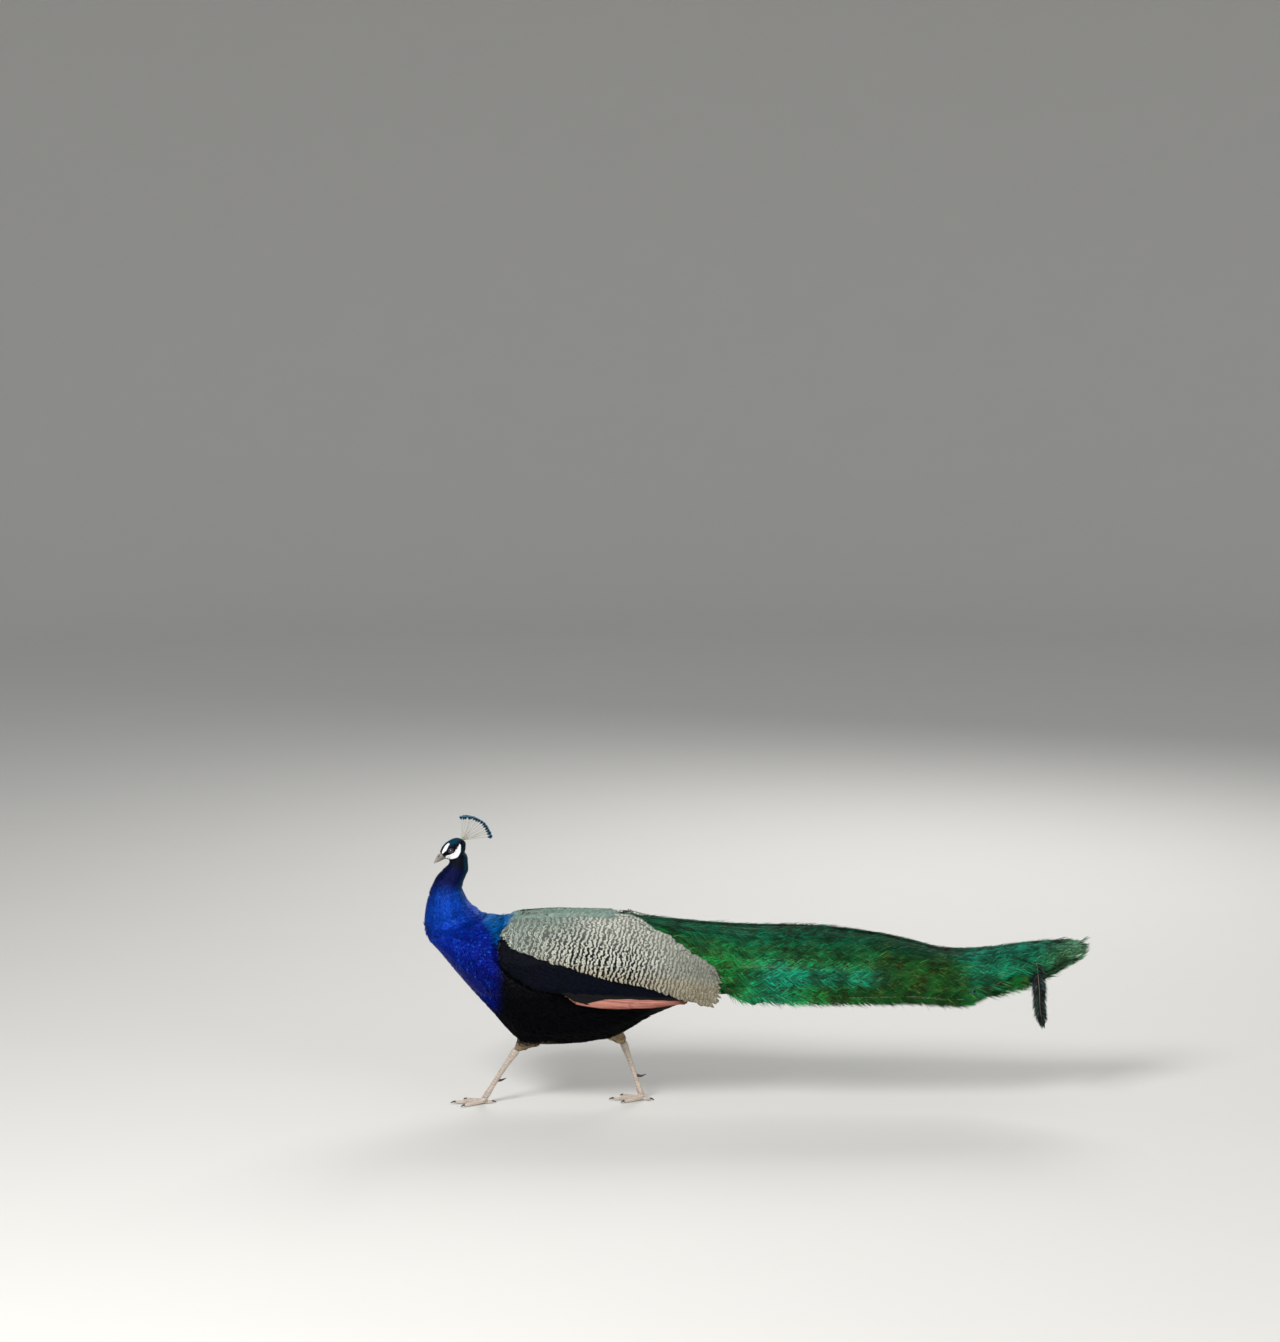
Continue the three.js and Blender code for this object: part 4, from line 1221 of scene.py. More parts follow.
class PEACOCK_OT_body_coat(bpy.types.Operator):
    """Lay the feathers of the head, neck, breast, mantle, belly and thighs over the skin"""

    bl_idname = "peacock.body_coat"
    bl_label = "Body coat"

    def execute(self, context):
        rng = np.random.default_rng(SEEDS["body coat"])
        head, line, surface = head_space(), body_line(), skin_surface()
        places, normals, run = body_roots(rng)
        region = body_regions(places, normals, run)
        lengths = np.interp(run, RUN_MARKS, VANE_LENGTHS) * rng.uniform(0.85, 1.15, len(run))
        widths = lengths * np.interp(run, RUN_MARKS, VANE_SHARES)
        widths[region == "mantle_coat"] *= 1.25
        heights = cad_surface(*FLESH).distance(places) * 1.05 + 0.0003
        furrow = (np.abs(places[:, 1]) < 0.04) & (places[:, 2] > 0.43) & (region == "mantle_coat")
        heights[furrow] = np.minimum(heights[furrow], 0.0045)
        lies = line.lie(places, normals)
        tint = plumage(places, normals, head, line)
        # Painted glints: a tenth of the blue feathers, picked at random, turn towards a light blue as
        # highlights on the sheen.
        glint = (rng.random(len(run)) < 0.1) & (tint[:, 2] > 0.2) & (tint[:, 0] < 0.05) & (run < 0.5)
        tint[glint] = tint[glint] * 0.35 + np.array(colours().neck_painted_glint) * 0.65
        unwrap = line.unwrapped(places)
        for name, lay in REGION_LAYS.items():
            chosen = region == name
            args = [a[chosen] for a in (places, lies, lengths, widths, heights)]
            grid = laid_vanes(surface, *args, lay, rng)
            picks = rng.random(len(grid))
            root_map = spread_map(unwrap[chosen])
            coat_piece(name, grid, picks, tint[chosen], root_map, region_material(name), REGION_SLOTS[name])
        return {"FINISHED"}


# ---------------------------------------------------------------- wings


def wing_surface(side):
    """The outer surface of one folded wing with what it lies against."""
    rows = [f"wing_{side}_{row}" for row in WING_ROWS]
    return Bird.get(f"wing_{side}", lambda: cad_surface(*rows, "trunk", *TRAIN))


def on_wing(side, path, inset=0.0):
    """Places on the wing's outer face over a path of (x, z), with normals, seen square from that side."""
    surface, out = wing_surface(side), SIDES[side]
    spots, normals = [], []
    for x, z in path:
        hit = surface.cast((x, out * 0.5, z), (0, -out, 0))
        if hit is None:
            hit = (spots[-1] + [0, 0, -0.004], normals[-1]) if spots else (np.array([x, out * 0.11, z]), None)
        normal = np.array([0, out, 0]) if hit[1] is None else hit[1]
        spots.append(np.array([x, hit[0][1], z]))
        normals.append(unit(normal * 0.5 + np.array([0, out * 0.5, 0])))
    spots, normals = np.array(spots), np.array(normals)
    return spots - normals * np.reshape(inset, (-1, 1)), normals


def shield_lie(places, normals):
    """The lie of the shield's feathers: level at the shoulder and sloping down to the wing's end."""
    low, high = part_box("wing_left_coverts")
    slope = np.interp(places[:, 0], [low[0], low[0] + 0.25, high[0]], [0.06, 0.42, 0.66])
    ahead = np.column_stack([np.cos(slope), np.zeros(len(slope)), -np.sin(slope)])
    return flat_on(ahead, normals)


def bar_phase(x, z):
    """How many bars lie between the shoulder and a place on the shield; they crowd towards its end."""
    low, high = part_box("wing_left_coverts")
    share = np.clip((x - low[0]) / (high[0] - low[0]), 0, 1)
    flow = (x - low[0]) * 0.93 - (z - high[2]) * 0.36
    return flow / sizes().bar_spacing * (0.88 + 0.3 * share)


def wing_lengths(share, rng):
    """Lengths of the small feathers of a wing, growing towards its end."""
    return (0.017 + 0.026 * share) * rng.uniform(0.88, 1.12, len(share))


def wing_lay(normals, columns, sink):
    """How they lie; those that face forward follow the wing's front edge round, the others run off edges."""
    firm = np.where(normals[:, 0] < -0.4, -1.0, 0.8)
    shape = {"rows": 4, "columns": columns, "cup": 0.16, "bow": 0.26, "rise": 1.0}
    return Lay(sway=0.07, twist=0.05, sink=sink, firm=firm, **shape)


def wing_vanes(side, places, normals, lengths, widths, lay, rng):
    """The small feathers themselves, laid over the folded wing."""
    lies, heights = shield_lie(places, normals), np.full(len(places), 0.0012)
    return laid_vanes(wing_surface(side), places, lies, lengths, widths, heights, lay, rng)


# How far apart the shield's feathers root at the shoulder, and how much farther at the wing's end.
SHIELD_GAP = 0.0042
SHIELD_GAP_RISE = 0.003
SHIELD_CANDIDATES = 22000


def make_shield(side, rng):
    """The cream feathers of one wing, marked with wavy dark bars."""
    tone, name, out = colours(), f"wing_{side}_coverts", SIDES[side]
    solid_rows = cad_surface(name)
    low, high = map(np.array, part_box(name))
    middles = solid_rows.points[solid_rows.triangles].mean(1)
    share = np.clip(share_between(middles[:, 0], low[0], high[0]), 0, 1)
    gaps = SHIELD_GAP + SHIELD_GAP_RISE * share
    places, normals = solid_rows.draw(rng, SHIELD_CANDIDATES, 1 / gaps**2)
    keep = (normals[:, 1] * out > 0.12) | ((normals[:, 2] > 0.35) & (places[:, 1] * out > 0.02))
    places, normals = places[keep], normals[keep]
    share = share_between(places[:, 0], low[0], high[0])
    picked = spread_out(places, SHIELD_GAP + SHIELD_GAP_RISE * share)
    places, normals, share = places[picked], normals[picked], share[picked]
    lengths = wing_lengths(share, rng)
    lengths = np.minimum(lengths, np.maximum(high[0] - places[:, 0] + 0.004, 0.012))
    widths = lengths * (0.66 - 0.16 * share)
    grid = wing_vanes(side, places, normals, lengths, widths, wing_lay(normals, 4, 0.004), rng)
    picks = rng.random(len(grid))
    x, z = grid[..., 0], grid[..., 2]
    part = share_between(x, low[0], high[0])
    ends = [low[0], high[0]]
    top = fade(z, np.interp(x, ends, [high[2] - 0.034, high[2] - 0.15]), high[2] + 0.004)
    bold = np.interp(part, [0.0, 0.14, 0.34, 0.62, 0.8, 1.0], [0.58, 0.78, 1.0, 1.0, 0.66, 0.4])
    fine = np.interp(part, [0.0, 0.2, 0.45, 0.7, 1.0], [0.86, 0.62, 0.22, 0.44, 0.72])
    phase = bar_phase(x, z) + (picks[:, None, None] - 0.5) * 0.5
    plan = np.stack([phase, bold * (1 - 0.35 * top), fine], -1).reshape(-1, 3)
    lower = np.interp(x, ends, [high[2] - 0.075, low[2] + 0.03])
    tint = [tone.shield_cream]
    for colour, amount in (
        (tone.shield_grey, fade(part, 0.62, 0.92)),
        (tone.mantle_grey, top * fade(part, 0.5, 0.2) * 0.85),
        (tone.mantle_grey, fade(part, 0.34, 0.04) * 0.55),
        (SHIELD_WARM, fade(z, lower + 0.02, lower - 0.012) * 0.6),
    ):
        tint = blend(tint, [colour], amount.ravel())
    look = {"edge": SHIELD_EDGE, "edge_amount": 0.3, "variation": 0.3, "barbs": 12.0, "Roughness": 0.62}
    material = vane_material(f"shield_{side}", bars=tone.shield_bar, **look)
    root_map = spread_map(places[:, [0, 2]])
    piece = coat_piece(f"wing_{side}_shield", grid, picks, tint, root_map, material, "barred_feathers", plan)
    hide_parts(name)


def fanned_paths(side, count, tips, roots, rows, sag):
    """Centre lines of long wing feathers, from roots to tips given as paths of (x, z)."""
    tips = curve_through(tips, count)
    roots = curve_through(roots, count)
    spines, ups = [], []
    for layer, (root, tip) in enumerate(zip(roots, tips, strict=True)):
        share = np.linspace(0, 1, rows + 1)[:, None]
        path = root + (tip - root) * share
        path[:, 1] -= sag * np.sin(share[:, 0] * math.pi)
        under = 0.0055 * fade(share[:, 0], 0.55, 0.1)
        spots, normals = on_wing(side, path, inset=under + 0.0008 + 0.0016 * layer / count)
        spines.append(spots)
        ups.append(normals)
    return np.array(spines), np.array(ups)


# The long feathers: where their tips and roots lie as shares of their row's length and height.
FLIGHT_ROWS = {
    "secondaries": {
        "tips": [
            [1.0, 0.1], [0.86, 0.08], [0.66, 0.12], [0.46, 0.18], [0.29, 0.25], [0.15, 0.38], [0.06, 0.68],
        ],
        "roots": [[0.45, 0.75], [0.34, 0.8], [0.2, 0.78], [0.1, 0.76], [0.04, 0.8], [0.01, 0.82]],
        "count": 21,
        "width": 0.028,
        "sag": 0.004,
        "slot": "black_feathers",
        "tint": "secondary_black",
        "edge": SECONDARY_EDGE,
        "shader": {"Roughness": 0.5, "Specular_IOR_Level": 0.05},
    },
    "primaries": {
        "tips": [[0.99, 0.4], [0.88, 0.3], [0.72, 0.2], [0.5, 0.2]],
        "roots": [[0.05, 0.82], [0.03, 0.74], [0.02, 0.66], [0.02, 0.58]],
        "count": 9,
        "width": 0.015,
        "sag": 0.002,
        "slot": "chestnut_feathers",
        "tint": "chestnut",
        "edge": PRIMARY_EDGE,
        "shader": {"Roughness": 0.55},
    },
}


def make_flight_feathers(side, rng):
    """The dark secondaries under the shield and the chestnut primaries along the wing's lower edge."""
    for row, kind in FLIGHT_ROWS.items():
        name, count = f"wing_{side}_{row}", kind["count"]
        low, high = (np.array(corner)[[0, 2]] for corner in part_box(name))
        tips, roots = (low + (high - low) * np.array(kind[ends]) for ends in ("tips", "roots"))
        spines, ups = fanned_paths(side, count, tips, roots, 14, kind["sag"])
        reach = np.linalg.norm(spines[:, -1] - spines[:, 0], axis=1)
        widths = np.minimum(kind["width"], reach * 0.3) * rng.uniform(0.92, 1.08, count)
        grid = vane_grid(spines, ups, widths, 8, 0.1, 0.03, flight_width)
        shaft = slice(4, 5)
        grid[:, :, shaft] += ups[:, :, None] * 0.0006
        picks = rng.random(count)
        tints = rows_of(getattr(colours(), kind["tint"]), count) * rng.uniform(0.75, 1.15, (count, 1))
        look = {"edge": kind["edge"], "edge_amount": 0.7, "variation": 0.7, "barbs": 60.0, **kind["shader"]}
        material = vane_material(f"{row}_{side}", **look)
        root_map = numbered_map(count, 0.37)
        piece = coat_piece(f"{name}_vanes", grid, picks, tints, root_map, material, kind["slot"])
        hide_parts(name)


def make_dark_coverts(side, rng):
    """The short dark feathers that lie over the roots of the long ones."""
    name = f"wing_{side}_secondaries"
    solid_row, out = cad_surface(name), SIDES[side]
    low, high = map(np.array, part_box(name))
    places, normals = solid_row.draw(rng, 9000, np.ones(len(solid_row.triangles)))
    share = share_between(places[:, 0], low[0], high[0])
    strip_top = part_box(f"wing_{side}_primaries")[1][2]
    keep = (normals[:, 1] * out > 0.05) & (share < 0.5)
    keep &= (share < 0.2) | (places[:, 2] > strip_top + 0.01)
    places, normals, share = places[keep], normals[keep], share[keep]
    picked = spread_out(places, np.full(len(places), 0.0048))
    places, normals, share = places[picked], normals[picked], share[picked]
    lengths = wing_lengths(share, rng)
    grid = wing_vanes(side, places, normals, lengths, lengths * 0.6, wing_lay(normals, 2, 0.003), rng)
    tint = rows_of(colours().secondary_black, len(grid))
    look = {"edge": COVERT_EDGE, "edge_amount": 0.5, "variation": 0.7, "barbs": 12.0}
    material = vane_material(f"dark_coverts_{side}", Roughness=0.55, Specular_IOR_Level=0.05, **look)
    root_map, picks = spread_map(places[:, [0, 2]]), rng.random(len(grid))
    coat_piece(f"wing_{side}_dark_coverts", grid, picks, tint, root_map, material, "black_feathers")


class PEACOCK_OT_wings(bpy.types.Operator):
    """Lay the barred shields, the dark secondaries and the chestnut primaries of both wings"""

    bl_idname = "peacock.wings"
    bl_label = "Wings"

    def execute(self, context):
        rng = np.random.default_rng(SEEDS["wings"])
        for side in SIDES:
            make_shield(side, rng)
            make_flight_feathers(side, rng)
            make_dark_coverts(side, rng)
        return {"FINISHED"}


# ---------------------------------------------------------------- train


class TrainShape:
    """The arch of the train as a sheet: a share along it and an angle from its left edge to its right."""

    def __init__(self):
        surface = cad_surface(*TRAIN)
        points = surface.points
        low, high = points[:, 0].min(), points[:, 0].max()
        self.stations = np.linspace(low + 0.004, high - 0.012, 90)
        self.angles = np.linspace(0.02, math.pi - 0.02, 41)
        self.grid = np.empty((len(self.stations), len(self.angles), 3))
        for i, x in enumerate(self.stations):
            near = points[np.abs(points[:, 0] - x) < 0.045]
            floor_height = near[:, 2].min() + 0.006
            hub = np.array([x, 0.0, floor_height])
            last = None
            for j, angle in enumerate(self.angles):
                out = np.array([0.0, -math.cos(angle), math.sin(angle)])
                hit = surface.cast(hub + out * 0.5, -out)
                reach = 0.5 if hit is None else float((hit[0] - hub) @ out)
                if hit is None or reach < 0.004:
                    reach = last if last is not None else 0.02
                last = reach
                self.grid[i, j] = hub + out * reach
        for _ in range(2):
            self.grid[1:-1] = (self.grid[:-2] + 2 * self.grid[1:-1] + self.grid[2:]) / 4

    def place(self, x, angle):
        """Places on the arch and the outward normals there, for arrays of x and angle."""
        i = np.clip(share_between(x, *self.stations[:2]), 0, len(self.stations) - 1.001)
        j = np.clip(share_between(angle, *self.angles[:2]), 0, len(self.angles) - 1.001)
        a, b = i.astype(int), j.astype(int)
        u, v = (i - a)[..., None], (j - b)[..., None]
        g = self.grid
        near = g[a, b] * (1 - u) + g[a + 1, b] * u
        far = g[a, b + 1] * (1 - u) + g[a + 1, b + 1] * u
        along, around = g[a + 1, b] - g[a, b], g[a, b + 1] - g[a, b]
        return near * (1 - v) + far * v, unit(np.cross(along, around))


def train_shape():
    """The arch of the train, worked out once."""
    return Bird.get("train", TrainShape)


def patchy(x, angle, size, seed):
    """A smooth random value from 0 to 1 over the arch, in patches of about this size along it."""
    values = np.random.default_rng(seed).random((int(1.4 / size) + 3, 48))
    along, around = (x + 0.45) / size, angle / math.pi * 44
    i, j = along.astype(int), around.astype(int)
    u, v = fade(along - i, 0, 1), fade(around - j, 0, 1)
    low = values[i, j] * (1 - u) + values[i + 1, j] * u
    high = values[i, j + 1] * (1 - u) + values[i + 1, j + 1] * u
    return low * (1 - v) + high * v


def train_tint(x, angle, chance, glow):
    """The colour of a barb by its place: dark blue-green above, green at the sides, turquoise in streaks."""
    tone = colours()
    low, high = train_shape().stations[[0, -1]]
    share = share_between(x, low, high)
    down = np.abs(angle / math.pi - 0.5) * 2
    tint = blend([tone.train_dark], [tone.train_green], fade(down, 0.22, 0.55))
    bright = fade(down, 0.4, 0.62) * fade(share, 0.12, 0.2) * fade(share, 0.5, 0.36)
    tint = blend(tint, [TRAIN_BRIGHT], bright * (0.4 + 0.6 * chance))
    patch = hump(share, 0.33, 0.05) * fade(down, 0.4, 0.6)
    band = hump(down, 0.66, 0.1) * fade(share, 0.3, 0.36) * fade(share, 0.6, 0.53)
    far = fade(share, 0.7, 0.77) * fade(share, 0.95, 0.88) * fade(down, 0.95, 0.55)
    teal = np.clip(patch * 0.8 + band + far * 0.8, 0, 1) * (0.45 + 0.55 * glow)
    tint = blend(tint, [tone.train_teal], teal)
    dull = fade(share, 0.5, 0.57) * fade(share, 0.74, 0.69)
    tint = tint * (1 - 0.45 * np.clip(dull, 0, 1))[:, None]
    flecks = fade(patchy(x, angle, 0.012, 5), 0.6, 0.8) * (0.3 + 0.7 * fade(share, 0.45, 0.6))
    olive = np.maximum(flecks * 0.7, chance < 0.15) * (1 - teal) * fade(share, 0.97, 0.88)
    tint = blend(tint, [tone.train_gold], olive * (0.3 + 0.5 * fade(down, 0.2, 0.6)))
    tint = blend(tint, [TRAIN_TIP], fade(share, 0.88, 0.97) * 0.6)
    clumps = 0.55 * patchy(x, angle, 0.014, 6) + 0.45 * patchy(x, angle, 0.035, 7)
    clumps = fade(clumps, 0.28, 0.72)
    return tint * ((0.4 + 0.9 * chance) * (0.35 + 1.35 * clumps))[:, None]


def plume_barbs(spine, ups, rng, spacing, longest, width, droop, splay):
    """Barbs along both sides of one shaft as narrow blades: points (blades, 5, 3), share along and side."""
    run = run_along(spine)
    count = max(int(run[-1] / spacing), 4)
    slopes = np.gradient(spine, axis=0)
    blades, shares, sides = [], [], []
    for side in (-1.0, 1.0):
        at = (np.arange(count) + rng.random(count) * 0.8) / count
        at = np.clip(at, 0.01, 1.0)
        where = at * run[-1]
        root = rows_at(where, run, spine)
        up = unit(rows_at(where, run, ups))
        ahead = unit(rows_at(where, run, slopes))
        aside = np.cross(ahead, up) * side
        lean = np.interp(at, [0, 0.85, 1.0], [splay, splay * 0.8, splay * 0.25])
        lean = lean * rng.uniform(0.75, 1.25, count)
        reach = longest * np.interp(at, [0, 0.12, 0.75, 1.0], [0.55, 1.0, 0.95, 0.5])
        reach = reach * rng.uniform(0.75, 1.15, count)
        go = ahead * np.cos(lean)[:, None] + aside * np.sin(lean)[:, None]
        bent = unit(go + ahead * 0.45)
        flat = unit(np.cross(go, up))
        half = width / 2 * rng.uniform(0.8, 1.2, count)[:, None]
        loose = rng.random(count)[:, None] ** 3
        sink = droop * rng.uniform(0.2, 1.6, count)[:, None] - 0.005 * loose
        middle = root + go * (reach * 0.5)[:, None] + up * (0.0012 + 0.003 * loose)
        tip = root + (go * 0.5 + bent * 0.5) * reach[:, None] - up * sink
        wide = flat * half
        corners = [root - wide * 0.6, root + wide * 0.6, middle - wide, middle + wide, tip]
        blades.append(np.stack(corners, 1))
        shares.append(at)
        sides.append(np.full(count, side))
    return np.concatenate(blades), np.concatenate(shares), np.concatenate(sides)


BLADE_FACES = np.array([[0, 1, 3], [0, 3, 2], [2, 3, 4]])
BLADE_VANE = np.array([[-1, 0], [1, 0], [-1, 0.5], [1, 0.5], [0, 1]])


def shaft_strip(spine, ups, width):
    """A narrow ridged strip along a feather's shaft: points (rows, 3, 3)."""
    ahead = unit(np.gradient(spine, axis=0))
    aside = np.cross(ahead, ups)
    half = (width / 2 * np.linspace(1.0, 0.3, len(spine)))[:, None]
    return np.stack([spine - aside * half, spine + ups * half * 1.2, spine + aside * half], 1)


class PlumeMesh:
    """Gathers shafts, barbs and eye-spots of many plumes into one mesh."""

    def __init__(self):
        self.points, self.faces, self.tint, self.vane, self.map = [], [], [], [], []
        self.start = 0

    def add(self, points, faces, tint, vane, root_map):
        """Adds some points with their faces and values."""
        self.points.append(points)
        self.faces.extend((np.asarray(faces) + self.start).tolist())
        self.tint.append(tint)
        self.vane.append(vane)
        self.map.append(root_map)
        self.start += len(points)

    def piece(self, name, material, slot):
        """The finished mesh."""
        vectors = {"vane": np.vstack(self.vane)}
        parts = (np.vstack(self.points), np.array(self.faces), material, slot, np.vstack(self.tint))
        return mesh_piece(name, *parts, vectors, np.clip(np.vstack(self.map), 0, 1))


def add_plume(mesh, spine, ups, rank, tint_of, rng, spacing, longest, width=0.0016, droop=0.004, splay=0.75):
    """Adds one plume: its shaft and its barbs, on its own row of the bake map."""
    strip = shaft_strip(spine, ups, 0.0016)
    rows = len(spine) - 1
    share = np.repeat(np.linspace(0, 1, rows + 1), 3)
    vane = np.column_stack([np.zeros(len(share)), share, np.full(len(share), 0.5)])
    root_map = np.column_stack([0.01 + share * 0.98, rank + np.tile([-0.0005, 0, 0.0005], rows + 1)])
    tint = rows_of(colours().shaft_pale, len(share)) * 0.55
    mesh.add(strip.reshape(-1, 3), split_quads(grid_faces(1, rows, 2)), tint, vane, root_map)
    blades, at, side = plume_barbs(spine, ups, rng, spacing, longest, width, droop, splay)
    count = len(blades)
    faces = (BLADE_FACES[None] + np.arange(count)[:, None, None] * 5).reshape(-1, 3)
    chance = rng.random(count)
    roots_tint, tips_tint = tint_of(blades[:, 0], at, chance)
    weight = np.array([0.0, 0.0, 0.75, 0.75, 1.0])[None, :, None]
    tint = (roots_tint[:, None] * (1 - weight) + tips_tint[:, None] * weight).reshape(-1, 3)
    vane = np.empty((count, 5, 3))
    vane[:, :, :2] = BLADE_VANE
    vane[:, :, 2] = chance[:, None]
    inside = BLADE_VANE * [PATCH / 2, PATCH] - [0, PATCH / 2]
    place = np.column_stack([0.01 + at * 0.98, rank + side * 0.0022])
    root_map = (place[:, None] + inside[None]).reshape(-1, 2)
    mesh.add(blades.reshape(-1, 3), faces, tint, vane.reshape(-1, 3), root_map)


def plume_spine(start, end, angle_start, angle_end, rows, height, wave):
    """A shaft over the train from one place to another, as points and outward normals."""
    share = np.linspace(0, 1, rows + 1)
    x = start + (end - start) * share
    angle = angle_start + (angle_end - angle_start) * share**0.8 + wave * np.sin(share * math.pi * 1.5)
    spot, normal = train_shape().place(x, angle)
    ease = np.interp(share, [0, 0.1, 1.0], [0.3, 1.0, 1.0])
    return spot + normal * (height * ease)[:, None], normal


EYE_SPOT_STEPS = 16
EYE_SPOT_RADIUS = 0.0115
LONGEST_PLUME = 0.62
# Plumes along each lower edge of the train, and a step that spreads numbers evenly over a band.
FRINGE_PLUMES = 10
GOLDEN_STEP = 0.618
BED_COLUMNS = 61
# How far the rump's scales reach along the train.
RUMP_LENGTH = 0.34
RUMP_CANDIDATES = 9000


def ocellus(mesh, centre, up, ahead, radius, rank, share):
    """An eye-spot as rings from its dark heart to its bronze rim, a little above the barbs."""
    rings = [*EYE_SPOT, (1.05, colours().train_green)]
    turn = full_turn(EYE_SPOT_STEPS)
    aside = np.cross(ahead, up)
    points, tint = [centre + up * 0.001], [rings[0][1]]
    for part, tone_here in rings[1:]:
        egg = 1 + 0.18 * np.cos(turn)
        ring = centre + ahead * (np.cos(turn) * egg)[:, None] * radius * part
        ring = ring + aside * np.sin(turn)[:, None] * radius * 0.82 * part + up * (0.001 * (1 - part**2))
        points.extend(ring)
        tint.extend([tone_here] * EYE_SPOT_STEPS)
    ends = [(i, (i + 1) % EYE_SPOT_STEPS) for i in range(EYE_SPOT_STEPS)]
    faces = [[0, 1 + i, 1 + j] for i, j in ends]
    for a in range(1, 1 + (len(rings) - 2) * EYE_SPOT_STEPS, EYE_SPOT_STEPS):
        b = a + EYE_SPOT_STEPS
        for i, j in ends:
            faces += [[a + i, b + i, b + j], [a + i, b + j, a + j]]
    points, tint = np.array(points), np.array(tint)
    flat = (points - centre) @ np.stack([ahead, aside], 1) / radius
    root_map = np.array([0.01 + share * 0.98, rank]) + flat * PATCH * 0.9
    vane = np.column_stack([flat[:, 1] * 0.3, flat[:, 0] * 0.5 + 0.5, np.full(len(points), 0.5)])
    mesh.add(points, faces, tint, vane, root_map)


# The parts of the train, each with the shares of the arch that it spans, from the left edge to the right.
TRAIN_PARTS = {
    "train_upper_plumes": (0.3, 0.7),
    "train_left_plumes": (0.0, 0.36),
    "train_right_plumes": (0.64, 1.0),
}


def make_train_part(name, low_share, high_share, rng):
    """The plumes of one part of the train, rooted in rows so that the later ones lie over the earlier."""
    size, shape = sizes(), train_shape()
    first, last = shape.stations[[0, -1]]
    length = last - first
    upper = low_share > 0 and high_share < 1
    gilt = 0.15 if upper else 0.3
    mesh = PlumeMesh()
    for number in range(size.plume_count):
        level = number / size.plume_count
        band = low_share + (high_share - low_share) * ((number * GOLDEN_STEP) % 1.0)
        end = first + length * (1.0 - 0.66 * level**1.6) + rng.normal(0, 0.012)
        end = min(end, last)
        start = max(first, end - LONGEST_PLUME * rng.uniform(0.85, 1.1))
        start = max(start, first + 0.16 * (1 - level))
        angle_start = math.pi * (0.5 + (band - 0.5) * 0.92)
        angle_end = math.pi * np.clip(0.5 + (band - 0.5) * 1.02 + rng.normal(0, 0.015), 0.02, 0.98)
        height = 0.0005 + 0.005 * level
        spine, ups = plume_spine(start, end, angle_start, angle_end, 26, height, rng.normal(0, 0.02))
        rank = 0.012 + 0.976 * number / size.plume_count
        glow = rng.uniform(0.3, 1.0)

        def tint_of(roots, at, chance, ends=(angle_start, angle_end), glow=glow):
            turn = ends[0] + (ends[1] - ends[0]) * at**0.8
            tips = train_tint(roots[:, 0], turn, chance, glow)
            return blend(tips, [colours().train_gold], np.full(len(tips), gilt)) * 0.8, tips

        add_plume(mesh, spine, ups, rank, tint_of, rng, size.barb_spacing, size.barb_length, width=0.0014)
        if level < 0.45 and number % 4 == 0:
            heading = unit(spine[-3] - spine[-5])
            ocellus(mesh, spine[-4], ups[-4], heading, EYE_SPOT_RADIUS, rank, 0.96)
    for number in range(0 if upper else FRINGE_PLUMES):
        start = first + 0.1 + 0.085 * number
        end = min(start + rng.uniform(0.2, 0.3), last - 0.03)
        angle = math.pi * (0.035 if low_share == 0 else 0.965)
        spine, ups = plume_spine(start, end, angle, angle, 12, 0.004, rng.normal(0, 0.01))
        glow = rng.uniform(0.1, 0.6)

        def fringe_of(roots, _, chance, angle=angle, glow=glow):
            tips = train_tint(roots[:, 0], np.full(len(roots), angle), chance, glow)
            return tips * 0.8, tips

        rank = 0.5 / size.plume_count * number / FRINGE_PLUMES
        kind = {"width": 0.0011, "droop": 0.003, "splay": 1.15}
        add_plume(mesh, spine, ups, rank, fringe_of, rng, 0.004, 0.03, **kind)
    gloss = (0.62, 0.15, 0.04) if upper else (0.46, 0.35, 0.12)
    look = dict(zip(("Roughness", "Metallic", "Specular_IOR_Level"), gloss, strict=True))
    mesh.piece(name, vane_material(name, variation=0.75, barbs=3.0, **look), "train_feathers")


def train_bed(name, inset, tint_of, slot):
    """A sheet that follows the arch under its plumes, with shallow grooves along it."""
    shape = train_shape()
    x = shape.stations[:-2]
    angle = np.linspace(0.03, math.pi - 0.03, BED_COLUMNS)
    xs, turns = np.meshgrid(x, angle, indexing="ij")
    spots, normals = shape.place(xs, turns)
    points = spots - normals * (inset + 0.0007 * np.sin(turns * 46))[..., None]
    chance = np.tile(np.linspace(0, 1, BED_COLUMNS), len(x))
    vane = np.column_stack([np.sin(turns.ravel() * 23), xs.ravel() * 4, chance])
    faces = grid_faces(1, len(x) - 1, BED_COLUMNS - 1)
    material = vane_material(name, variation=0.5, barbs=30.0, Roughness=0.7)
    tint = tint_of(xs.ravel(), turns.ravel())
    return mesh_piece(name, points.reshape(-1, 3), faces, material, slot, tint, {"vane": vane})


